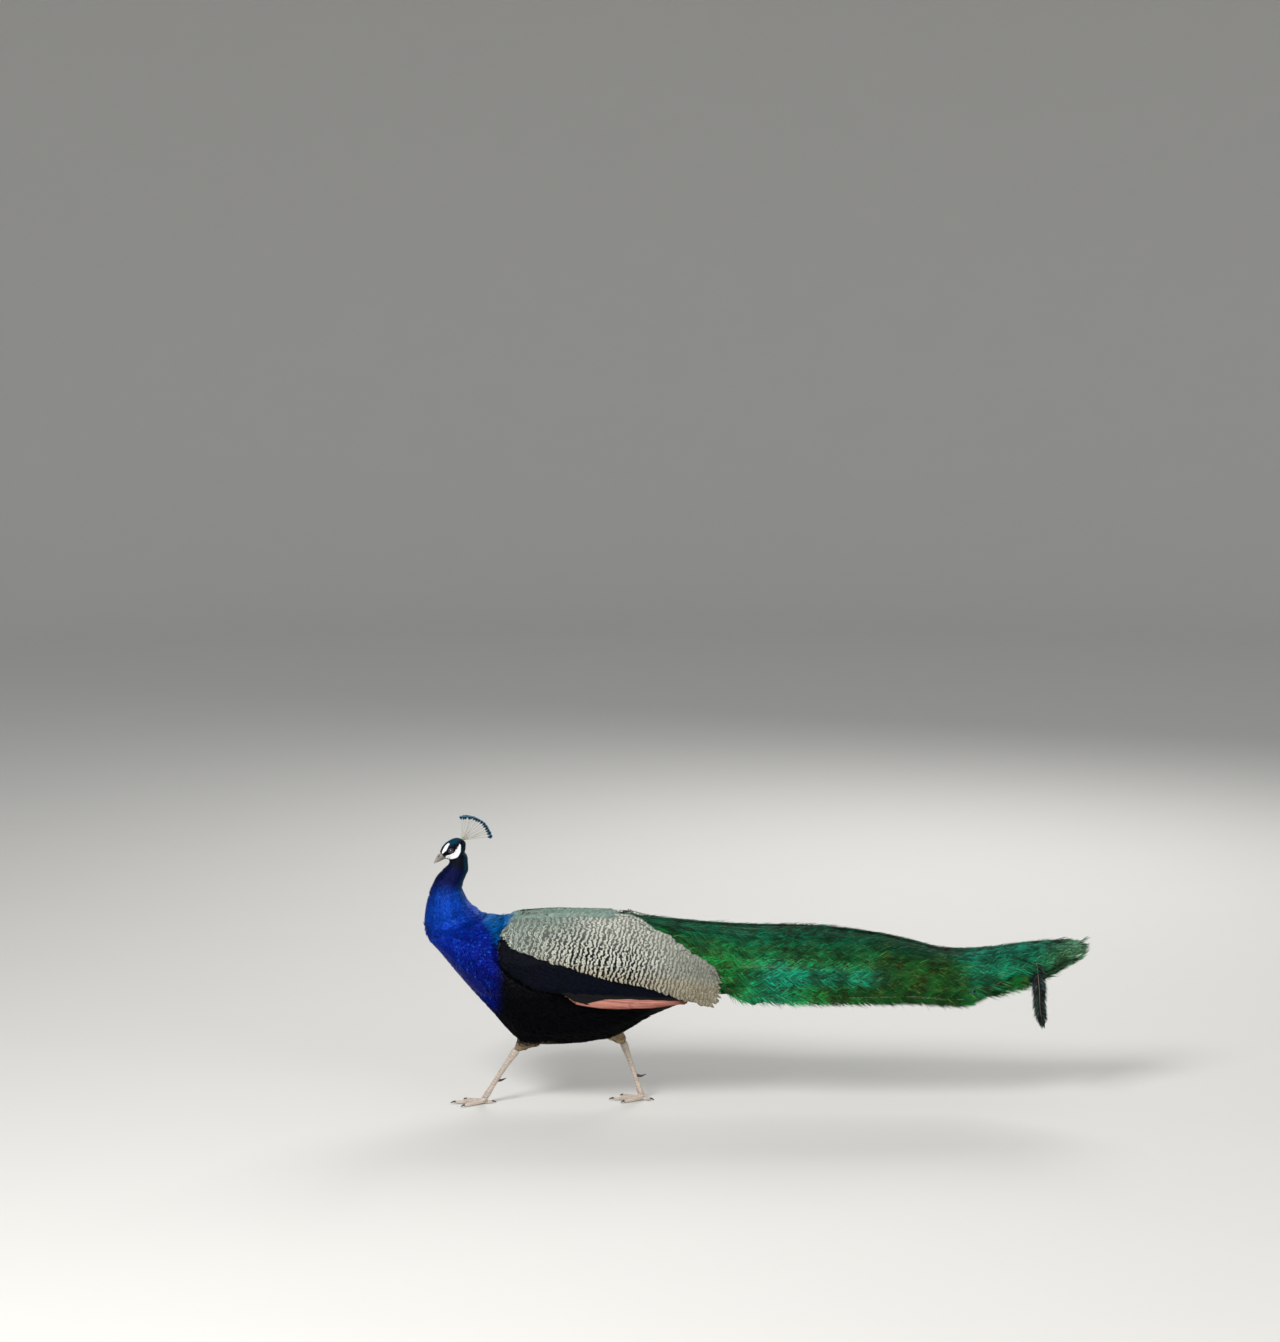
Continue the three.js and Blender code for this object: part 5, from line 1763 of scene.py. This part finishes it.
def rump_scales(rng):
    """Golden-green scales where the train leaves the back, growing longer towards the plumes."""
    tone = colours()
    shape = train_shape()
    first = shape.stations[0]
    x = first + RUMP_LENGTH * rng.random(RUMP_CANDIDATES) ** 1.15
    angle = math.pi * rng.uniform(0.03, 0.97, RUMP_CANDIDATES)
    places, normals = shape.place(x, angle)
    share = (x - first) / RUMP_LENGTH
    picked = spread_out(places, 0.0052 + 0.004 * share)
    places, normals, share, angle = places[picked], normals[picked], share[picked], angle[picked]
    lies = flat_on(rows_of([0.97, 0.0, -0.12], len(places)), normals)
    lengths = (0.019 + 0.03 * share) * rng.uniform(0.85, 1.15, len(share))
    widths = lengths * (0.8 - 0.22 * share)
    lay = Lay(rows=4, columns=4, cup=0.25, bow=0.3, rise=1.0, sway=0.08, twist=0.06, sink=-0.001)
    heights = 0.006 - 0.0025 * share
    grid = laid_vanes(cad_surface(*TRAIN), places, lies, lengths, widths, heights, lay, rng)
    down = np.abs(angle / math.pi - 0.5) * 2
    tint = blend([tone.mantle_gold], [tone.train_green], fade(share, 0.1, 0.55))
    tint = blend(tint, [tone.train_dark], fade(down, 0.3, 0.0) * fade(share, 0.2, 0.6) * 0.7)
    tint = tint * rng.uniform(0.45, 1.2, (len(tint), 1))
    root_map = spread_map(np.column_stack([share, angle / math.pi]))
    look = {"edge": SCALE_EDGE, "edge_amount": 0.85, "barbs": 12.0, "Roughness": 0.42, "Metallic": 0.3}
    material = vane_material("rump_scales", **look)
    coat_piece("rump_scales", grid, rng.random(len(grid)), tint, root_map, material, "train_feathers")


class PEACOCK_OT_train(bpy.types.Operator):
    """Make the train: its bed, its rump scales and its long plumes with loose barbs and eye-spots"""

    bl_idname = "peacock.train"
    bl_label = "Train"

    def execute(self, context):
        rng = np.random.default_rng(SEEDS["train"])

        # The bed under the plumes takes the train's colours darkened to two fifths: painted shade between and
        # under the plumes.
        def dark(x, angle):
            return train_tint(x, angle, np.full(len(x), 0.5), 0.3) * 0.4

        def dull(x, _):
            return rows_of(colours().train_brown, len(x))

        bed = train_bed("train_bed", 0.003, dark, "train_feathers")
        train_bed("train_lining", 0.0068, dull, "brown_feathers")
        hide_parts(*TRAIN)
        rump_scales(rng)
        for name, (low, high) in TRAIN_PARTS.items():
            make_train_part(name, low, high, rng)
        make_hanging_plume(rng)
        return {"FINISHED"}


def make_hanging_plume(rng):
    """The loose dark plume that hangs from the end of the train."""
    points, _ = cad_arrays("train_hanging_plume")
    low, high = points[:, 2].min(), points[:, 2].max()
    heights = np.linspace(high - 0.002, low + 0.004, 5)
    middle = [points[np.abs(points[:, 2] - h) < 0.026].mean(0) for h in heights]
    spine = curve_through(np.column_stack([np.array(middle)[:, :2], heights]), 24)
    ups = rows_of([0.0, -1.0, 0.0], len(spine))
    mesh = PlumeMesh()

    def tint_of(roots, _, chance):
        tips = blend([HANGING_DARK], [HANGING_FRINGE], fade(chance, 0.35, 0.9))
        return rows_of(HANGING_DARK, len(roots)), tips

    for layer in range(3):
        shifted = spine + np.array([0.0, -0.002 * (layer - 1), 0.0])
        rank = 0.2 + 0.3 * layer
        kind = {"width": 0.0022, "droop": 0.001, "splay": 0.95}
        add_plume(mesh, shifted, ups, rank, tint_of, rng, 0.0016, 0.026, **kind)
    piece = mesh.piece("hanging_plume", vane_material("hanging_plume", Roughness=0.55), "black_feathers")
    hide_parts("train_hanging_plume")


# ---------------------------------------------------------------- tail and crest


TAIL_FEATHERS = 20
TAIL_BAR_SPACING = 0.016
# Points along a crest shaft, and the width of the fan at its end.
SHAFT_POINTS = 12
CREST_TIP_WIDTH = 0.0092


def make_tail(rng):
    """The stiff brown tail feathers, fanned in an arch under the train."""
    surface = cad_surface("tail")
    low, high = map(np.array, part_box("tail"))
    count, rows = TAIL_FEATHERS, 12
    path = np.linspace(0, 1, rows + 1)
    spines = []
    for share in np.linspace(-1, 1, count).tolist():
        end = high[0] - 0.004 - 0.055 * share**2
        x = low[0] + 0.01 + (end - low[0] - 0.01) * path
        y = share * (0.028 + (high[1] - 0.034) * np.sin(path * math.pi * 0.46))
        hits = [surface.cast((a, b, low[2] - 0.1), (0, 0, 1)) for a, b in zip(x, y, strict=True)]
        z = np.array([np.nan if hit is None else hit[0][2] for hit in hits])
        known = ~np.isnan(z)
        z = np.interp(path, path[known], z[known]) + 0.001 + 0.0018 * abs(share)
        spines.append(np.column_stack([x, y, z]))
    lean = np.linspace(-0.75, 0.75, count)
    ups = np.stack([np.zeros(count), np.sin(lean), np.cos(lean)], 1)
    ups = np.repeat(ups[:, None], rows + 1, axis=1)
    widths = 0.034 * rng.uniform(0.95, 1.05, count)
    grid = vane_grid(np.array(spines), ups, widths, 6, 0.08, 0.05, flight_width)
    tint = rows_of(colours().tail_brown, count) * rng.uniform(0.8, 1.1, (count, 1))
    even = np.ones(grid.shape[:3])
    plan = np.stack([grid[..., 0] / TAIL_BAR_SPACING, even * 0.45, even * 0.5], -1).reshape(-1, 3)
    look = {"edge": TAIL_EDGE, "edge_amount": 0.4, "variation": 0.4, "barbs": 50.0, "Roughness": 0.6}
    material = vane_material("tail_feathers", bars=TAIL_BAR, **look)
    picks, root_map = rng.random(count), numbered_map(count, 0.41)
    piece = coat_piece("tail_vanes", grid, picks, tint, root_map, material, "brown_feathers", plan)
    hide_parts("tail")


def crest_tip_width(v):
    """Half the width of a crest feather's fan along it: narrow at the shaft and widest near the end."""
    return np.interp(v, [0.0, 0.35, 0.8, 1.0], [0.1, 0.52, 1.0, 0.86])


def make_crest(rng):
    """The fan of bare-shafted crest feathers with their blue-green tips."""
    head, size, tone = head_space(), sizes(), colours()
    count, rows = size.crest_feathers, 7
    angle = np.radians(np.linspace(114, 205, count)) + rng.normal(0, 0.012, count)
    row_side = np.where(np.arange(count) % 2 == 0, 1.0, -1.0)
    splay = row_side * 0.05 + rng.normal(0, 0.015, count)
    ahead = np.column_stack([np.cos(angle), splay, np.sin(angle)])
    crown = np.interp(angle, [1.9, 3.6], [0.003, -0.003])
    crown = np.column_stack([crown, row_side * 0.0022, np.zeros(count)])
    root = np.array([-0.033, 0.0, 0.006]) + crown
    reach = size.crest_length * np.linspace(0.97, 1.13, count) * rng.uniform(0.975, 1.0, count)
    bend = np.column_stack([-np.sin(angle), np.zeros(count), np.cos(angle)])
    bend = bend * rng.normal(0, 0.0012, (count, 1))

    def along(share):
        curve = bend[:, None] * np.sin(share * math.pi)[None, :, None]
        return root[:, None] + ahead[:, None] * (reach[:, None] * share)[..., None] + curve

    mesh = PlumeMesh()
    rim = [[0, 0.0003 * math.cos(a), 0.0003 * math.sin(a)] for a in (0, 2.1, 4.2)]
    share = np.repeat(np.linspace(0, 1, SHAFT_POINTS), 3)
    vane = np.column_stack([share * 0, share * 0.5, share * 0 + 0.5])
    for number, shaft in enumerate(along(np.linspace(0.0, 0.9, SHAFT_POINTS))):
        points, corners = ring_grid(head.outside(shaft)[:, None] + head.direction(rim)[None])
        root_map = np.column_stack([0.02 + 0.9 * share, share * 0 + (0.02 + 0.96 * number / count)])
        tint = rows_of(tone.shaft_pale, len(points)) * 0.8
        mesh.add(points, split_quads(corners), tint, vane, root_map)
    mesh.piece("crest_shafts", vane_material("crest_shafts", barbs=1.0, Roughness=0.5), "crest_feathers")
    tips = along(np.linspace(0.85, 1.0, rows + 1))
    spines = head.outside(tips.reshape(-1, 3)).reshape(tips.shape)
    normals = head.direction(np.column_stack([np.zeros(count), row_side, splay * 0.5]))
    ups = np.repeat(unit(normals)[:, None], rows + 1, axis=1)
    widths = CREST_TIP_WIDTH * rng.uniform(0.9, 1.1, count)
    grid = vane_grid(spines, ups, widths, 8, 0.12, 0.1, crest_tip_width)
    ragged = rng.normal(0, 0.00035, (count, 1, 9, 1))
    ragged = ragged * (np.linspace(0, 1, rows + 1) ** 3)[None, :, None, None]
    grid = grid + ragged * head.direction(ahead)[:, None, None, :]
    tint = rows_of(tone.crest_blue, count)
    look = {"edge": tone.crest_edge, "edge_amount": 0.55, "variation": 0.4, "barbs": 9.0}
    material = vane_material("crest_tips", Roughness=0.4, Metallic=0.3, **look)
    picks, root_map = rng.random(count), numbered_map(count, 0.31)
    fans = coat_piece("crest_fans", grid, picks, tint, root_map, material, "crest_feathers")
    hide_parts("crest")


class PEACOCK_OT_tail_and_crest(bpy.types.Operator):
    """Make the stiff tail feathers and the fan-shaped crest"""

    bl_idname = "peacock.tail_and_crest"
    bl_label = "Tail and crest"

    def execute(self, context):
        rng = np.random.default_rng(SEEDS["tail and crest"])
        make_tail(rng)
        make_crest(rng)
        return {"FINISHED"}


# ---------------------------------------------------------------- bill and eyes


def smooth_solid(name, voxel, rounds):
    """This solid as a finely meshed, softened surface: its points, quads and normals."""
    points, quads = remeshed(*cad_arrays(name), voxel)
    points = relaxed(points, face_edges(quads), rounds)
    return points, quads, Surface(points, split_quads(quads)).normals


def make_bill():
    """The two halves of the bill in smooth horn, with nostrils under a raised flap and a slight ridge along
    the cutting edges.
    """
    head, tone = head_space(), colours()
    for half in ("upper", "lower"):
        points, quads, normals = smooth_solid(f"bill_{half}", 0.0006, 6)
        own = head.inside(points)
        flat = own[:, [0, 2]]
        # Painted shade: the nostrils are dented and coloured near black to stand in for the shade inside
        # them.
        nostril = capsule_mask(flat, [(0.0375, 0.0028), (0.0325, 0.004)], [0.0006, 0.001], 0.0005)
        nostril = nostril * (half == "upper")
        flap = capsule_mask(flat, [(0.0375, 0.0044), (0.032, 0.006)], [0.0006, 0.0012], 0.0008)
        cutting = hump(own[:, 2], -0.0032, 0.0007)
        move = -0.0013 * nostril + 0.0004 * flap * (half == "upper") + 0.0001 * cutting
        points = points + normals * move[:, None]
        values = {"plan": plan_of(nostril)}
        # Painted highlight: the front of the bill is lightened where it catches the light.
        pale = fade(own[:, 0], 0.03, 0.05)
        tint = blend([tone.horn_grey], [BILL_PAINTED_HIGHLIGHT], pale * 0.7)
        look = {"Scale": 240.0, "Cells": 900.0, "Amount": 0.5, "Seams": 0.05}
        material = mottled_material(f"bill_{half}", None, 0.0001, NOSTRIL_DARK, Roughness=0.38, **look)
        piece = mesh_piece(f"bill_{half}_horn", points, quads, material, "horn", tint, values)
        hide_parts(f"bill_{half}")


def ring_grid(rings):
    """Points and quads of a closed tube or dome from its rings (rings, steps, 3)."""
    count, steps = rings.shape[:2]
    pairs = [(i * steps, k, (k + 1) % steps) for i in range(count - 1) for k in range(steps)]
    quads = [[at + k, at + j, at + steps + j, at + steps + k] for at, k, j in pairs]
    return rings.reshape(-1, 3), np.array(quads)


def make_eyes():
    """Both eyeballs with a clear bulge over pupil and iris, and folded lids round them."""
    head, tone, radius = head_space(), colours(), sizes().eye_radius
    steps = 32
    turn = full_turn(steps)
    for side, out in SIDES.items():
        centre = head.inside(box_centre(f"eye_{side}"))[0]
        axis = unit(np.array([0.1, -out, 0.05]))
        front = unit(np.array([1.0, 0.0, 0.0]) - axis * axis[0])
        top = np.cross(axis, front) * (1 if out < 0 else -1)
        top = top * (1 if top[2] > 0 else -1)
        tilt = np.radians([2, 6, 10, 14, 16, 17, 20, 24, 28, 31, 33, 36, 42, 50, 60, 75, 95, 120, 150, 178])
        bulge = radius + 0.0005 * fade(tilt, math.radians(36), math.radians(8))
        rings = axis * (np.cos(tilt) * bulge)[:, None, None]
        spread = front * np.cos(turn)[:, None] + top * np.sin(turn)[:, None]
        rings = rings + spread[None] * (np.sin(tilt) * bulge)[:, None, None] + centre
        points, quads = ring_grid(rings)
        points = head.outside(points)
        degrees = np.degrees(np.repeat(tilt, steps))
        pupil = fade(degrees, 18.0, 16.5)
        white = fade(degrees, 32.0, 34.0)
        tint = blend([tone.iris_brown], [PUPIL_BLACK], pupil)
        tint = blend(tint, [EYE_RIM], white)
        piece = mesh_piece(f"eyeball_{side}", points, quads, eye_material(side), "eye", tint)
        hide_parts(f"eye_{side}")
        make_lids(side, head, centre, axis, front, top, radius)


def eye_material(side):
    """A wet eye: its colours are finely flecked lighter."""
    material, tree, shader = new_material(f"eye_{side}", Roughness=0.06, Coat_Weight=1.0, Coat_Roughness=0.02)
    streak = noise(tree, own_place(tree), 1800.0, 4.0)
    base = attribute(tree, "tint", "Color")
    lighter = mixed(tree, 1.0, base, (1.9, 1.7, 1.5, 1.0), "MULTIPLY")
    tree.links.new(mixed(tree, ramped(tree, streak, 0.4, 0.7), base, lighter), shader.inputs["Base Color"])
    return material


# The folds of the lids: how far outside the opening, how thick, and how far above the eyeball.
LID_FOLDS = [(0.0, 0.00085, 0.0001), (0.0013, 0.0006, -0.0003)]


def make_lids(side, head, centre, axis, front, top, radius):
    """The folded rims of bare skin round one eye."""
    turn = full_turn(48)
    points, quads, start = [], [], 0
    for outward, thick, rise in LID_FOLDS:
        wide = 0.0053 + outward
        tall = np.where(np.sin(turn) > 0, 0.004, 0.0044) + outward
        flat = front * (np.cos(turn) * wide)[:, None] + top * (np.sin(turn) * tall)[:, None]
        reach = np.linalg.norm(flat, axis=1)
        height = np.sqrt(np.maximum(radius**2 - reach**2, (radius * 0.55) ** 2)) + rise
        core = centre + flat + axis * height[:, None]
        outer = unit(flat)
        loops = [core + (outer * math.cos(a) + axis * math.sin(a)) * thick for a in full_turn(8)]
        made, faces = ring_grid(np.array([*loops, loops[0]]))
        points.append(head.outside(made))
        quads.append(faces + start)
        start += len(made)
    look = {"Scale": 300.0, "Cells": 1500.0, "Amount": 0.5, "Seams": 0.3}
    material = mottled_material(f"lids_{side}", LID_GREY, 0.0002, Roughness=0.5, **look)
    mesh_piece(f"eyelids_{side}", np.vstack(points), np.vstack(quads), material, "head_feathers")


class PEACOCK_OT_face(bpy.types.Operator):
    """Make the bill, the eyes and their lids"""

    bl_idname = "peacock.face"
    bl_label = "Bill and eyes"

    def execute(self, context):
        make_bill()
        make_eyes()
        return {"FINISHED"}


# ---------------------------------------------------------------- legs


# How long the scutes are on the shanks and on the toes.
SHANK_SCUTE = 0.0072
TOE_SCUTE = 0.0046


def scute_groove(run, pitch):
    """How deep in the groove between two scutes each place along a shank or toe is, 0 to 1."""
    from_seam = np.abs((run / pitch + 0.5) % 1.0 - 0.5)
    return hump(from_seam, 0, 0.085)


def make_shank(side):
    """One shank with broad scutes down its front and small scales behind."""
    points, quads, normals = smooth_solid(f"shank_{side}", 0.001, 5)
    top, bottom = points[:, 2].max(), points[:, 2].min()
    upper = points[points[:, 2] > top - 0.006].mean(0)
    lower = points[points[:, 2] < bottom + 0.006].mean(0)
    axis = unit(lower - upper)
    run = (points - upper) @ axis
    front = fade(-normals[:, 0], -0.15, 0.35)
    groove = scute_groove(run, SHANK_SCUTE) * front
    plate = 0.00035 * (((run / SHANK_SCUTE) % 1.0) - 0.5) * front
    points = points + normals * (plate - 0.00045 * groove)[:, None]
    leg_piece(f"shank_skin_{side}", points, quads, groove, f"shank_{side}")


def make_foot(side):
    """One foot with a row of scutes along the top of each toe and soft pads below."""
    points, quads, normals = smooth_solid(f"foot_{side}", 0.001, 4)
    shank, _ = cad_arrays(f"shank_{side}")
    hub = shank[shank[:, 2] < shank[:, 2].min() + 0.006].mean(0)
    best = np.full(len(points), 1e9)
    run = np.zeros(len(points))
    for claw in range(1, 5):
        toe = box_centre(f"claw_{side}_{claw}") - hub
        toe = unit(toe * [1, 1, 0])
        offset = (points - hub) * [1, 1, 0]
        reach = offset @ toe
        gap = np.linalg.norm(offset - reach[:, None] * toe, axis=1) + 0.5 * np.maximum(-reach, 0)
        closer = gap < best
        best[closer], run[closer] = gap[closer], reach[closer]
    above = fade(normals[:, 2], -0.1, 0.5) * fade(run, 0.004, 0.01)
    groove = scute_groove(run, TOE_SCUTE) * above
    pads = fade(points[:, 2], 0.006, 0.003) * fade(points[:, 2], 0.0002, 0.0014)
    swell = pads * (0.5 + 0.5 * np.cos(run * 2 * math.pi / 0.016)) * 0.0004
    points = points + normals * (swell - 0.0004 * groove)[:, None]
    points[:, 2] = np.maximum(points[:, 2], 0.0)
    leg_piece(f"foot_skin_{side}", points, quads, groove, f"foot_{side}")


def leg_piece(name, points, quads, groove, node):
    """A scaly piece of leg in place of its solid."""
    tint = rows_of(colours().leg_grey, len(points))
    values = {"plan": plan_of(groove * 0.75)}
    look = {"Scale": 120.0, "Cells": 700.0, "Amount": 0.5, "Seams": 0.45}
    material = mottled_material(name, None, 0.0004, SCUTE_SEAM, Roughness=0.55, **look)
    piece = mesh_piece(name, points, quads, material, "leg_skin", tint, values)
    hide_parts(node)


def make_horn(node, name):
    """A claw or spur in smooth horn, finely mottled."""
    points, quads, _ = smooth_solid(node, 0.0005, 4)
    points[:, 2] = np.maximum(points[:, 2], 0.0)
    material, tree, shader = new_material(name, Roughness=0.35)
    look = {"Scale": 400.0, "Cells": 1200.0, "Amount": 0.7, "Seams": 0.05}
    made = use_group(tree, mottle_group(), Colour=solid(colours().claw_dark), **look)
    tree.links.new(made["Colour"], shader.inputs["Base Color"])
    tree.links.new(ramped(tree, made["Cloud"], 0.3, 0.7, 0.28, 0.45), shader.inputs["Roughness"])
    piece = mesh_piece(name, points, quads, material, "claw")
    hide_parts(node)


class PEACOCK_OT_legs(bpy.types.Operator):
    """Make the scaly shanks and feet, the claws and the spurs"""

    bl_idname = "peacock.legs"
    bl_label = "Legs"

    def execute(self, context):
        for side in SIDES:
            make_shank(side)
            make_foot(side)
            make_horn(f"spur_{side}", f"spur_horn_{side}")
            for claw in range(1, 5):
                make_horn(f"claw_{side}_{claw}", f"claw_horn_{side}_{claw}")
        return {"FINISHED"}


# ---------------------------------------------------------------- stage


class StageSettings(bpy.types.PropertyGroup):
    """The camera's place and the lights."""

    camera_distance: length_setting("Camera distance", "Level distance from the bird's middle plane", 6.83)
    camera_height: length_setting("Camera height", "Height of the lens over the floor", 1.984)
    camera_x: length_setting("Camera place", "Where the camera stands along the bird", -0.272)
    camera_pitch: angle_setting("Camera pitch", "How far the camera looks down", 7.985)
    lens: FloatProperty(name="Lens", description="Focal length", default=80.06, unit="CAMERA")
    floor_tone: colour_setting("Floor", "Colour of floor and backdrop", 206, 204, 199)
    key_power: FloatProperty(name="Key light", description="Power of the key light in watts", default=230.0)
    fill_power: FloatProperty(name="Fill light", description="Power of the fill light in watts", default=60.0)
    rim_power: FloatProperty(name="Rim light", description="Power of the light from behind", default=90.0)
    sky: FloatProperty(name="Sky", description="Strength of the even light from all round", default=0.42)


def area_light(name, place, aim, size, power):
    """A soft square light that faces a point."""
    data = bpy.data.lights.new(name, "AREA")
    data.shape = "SQUARE"
    data.size = size
    data.energy = power
    lamp = new_object(name, data)
    lamp.location = place
    lamp.rotation_euler = (Vector(aim) - Vector(place)).to_track_quat("-Z", "Y").to_euler()


def floor_piece():
    """A pale round floor that curves up into a wall on every side, far from the bird."""
    flat, rise, steps = 9.0, 4.0, 96
    bend = [(flat + rise * math.sin(a), rise - rise * math.cos(a)) for a in np.linspace(0, math.pi / 2, 17)]
    outline = np.array([(0.01, 0.0), (3.0, 0.0), (6.0, 0.0), *bend, (flat + rise, rise + 1.5)])
    turn = full_turn(steps)
    out, up = outline[:, :1], outline[:, 1:]
    rings = np.stack([out * np.cos(turn), out * np.sin(turn), up + turn * 0], -1)
    points, faces = ring_grid(rings)
    faces = faces.tolist() + [list(range(steps))[::-1]]
    mesh = bpy.data.meshes.new("floor")
    mesh.from_pydata(points.tolist(), [], faces)
    mesh.polygons.foreach_set("use_smooth", [True] * len(faces))
    material, tree, shader = new_material("floor", Roughness=0.85)
    tone = solid(bpy.context.scene.peacock_stage.floor_tone)
    cloud = noise(tree, own_place(tree), 3.0)
    clouded = mixed(tree, times(tree, cloud, 0.06), tone, (0.4, 0.4, 0.4, 1.0))
    tree.links.new(clouded, shader.inputs["Base Color"])
    mesh.materials.append(material)
    piece = new_object("floor", mesh)


class PEACOCK_OT_stage(bpy.types.Operator):
    """Set the floor, the soft lights and the camera"""

    bl_idname = "peacock.stage"
    bl_label = "Stage"

    def execute(self, context):
        stage = context.scene.peacock_stage
        floor_piece()
        data = bpy.data.cameras.new("camera")
        data.lens = stage.lens
        data.sensor_width = 36.0
        camera = new_object("camera", data)
        camera.location = (stage.camera_x, -stage.camera_distance, stage.camera_height)
        camera.rotation_euler = (math.pi / 2 - stage.camera_pitch, 0, 0)
        context.scene.camera = camera
        aim = (-0.1, 0.0, 0.3)
        area_light("key_light", (-2.2, -3.2, 3.6), aim, 1.6, stage.key_power)
        area_light("fill_light", (3.2, -3.0, 1.8), aim, 2.6, stage.fill_power)
        area_light("rim_light", (1.0, 3.4, 3.0), aim, 2.0, stage.rim_power)
        world = bpy.data.worlds.new("sky")
        world.use_nodes = True
        world.node_tree.nodes["Background"].inputs[0].default_value = (0.93, 0.96, 1.0, 1.0)
        world.node_tree.nodes["Background"].inputs[1].default_value = stage.sky
        context.scene.world = world
        context.scene.view_settings.view_transform = "Standard"
        return {"FINISHED"}


class PEACOCK_PT_panel(bpy.types.Panel):
    """The pieces of the peacock, in the order that they are made"""

    bl_idname = "PEACOCK_PT_panel"
    bl_label = "Peacock"
    bl_space_type = "VIEW_3D"
    bl_region_type = "UI"
    bl_category = "Peacock"

    def draw(self, context):
        for maker in MAKERS:
            self.layout.operator(maker.bl_idname)
        for settings in ("peacock_sizes", "peacock_colours", "peacock_stage"):
            group = getattr(context.scene, settings)
            box = self.layout.box()
            for title in group.bl_rna.properties.keys():
                if title not in ("rna_type", "name"):
                    box.prop(group, title)


MAKERS = (
    PEACOCK_OT_skin,
    PEACOCK_OT_body_coat,
    PEACOCK_OT_wings,
    PEACOCK_OT_train,
    PEACOCK_OT_tail_and_crest,
    PEACOCK_OT_face,
    PEACOCK_OT_legs,
    PEACOCK_OT_stage,
)
SETTINGS = {
    "peacock_sizes": PeacockSizes,
    "peacock_colours": PeacockColours,
    "peacock_stage": StageSettings,
}
CLASSES = (*SETTINGS.values(), *MAKERS, PEACOCK_PT_panel)


def register():
    """Adds the classes and the scene's settings."""
    for kind in CLASSES:
        bpy.utils.register_class(kind)
    for title, kind in SETTINGS.items():
        setattr(bpy.types.Scene, title, PointerProperty(type=kind))


def unregister():
    """Takes them away again."""
    for title in SETTINGS:
        delattr(bpy.types.Scene, title)
    for kind in reversed(CLASSES):
        bpy.utils.unregister_class(kind)


def main():
    """Makes every piece in order."""
    register()
    for maker in MAKERS:
        group, operator = maker.bl_idname.split(".")
        getattr(getattr(bpy.ops, group), operator)()


if __name__ == "__main__":
    main()
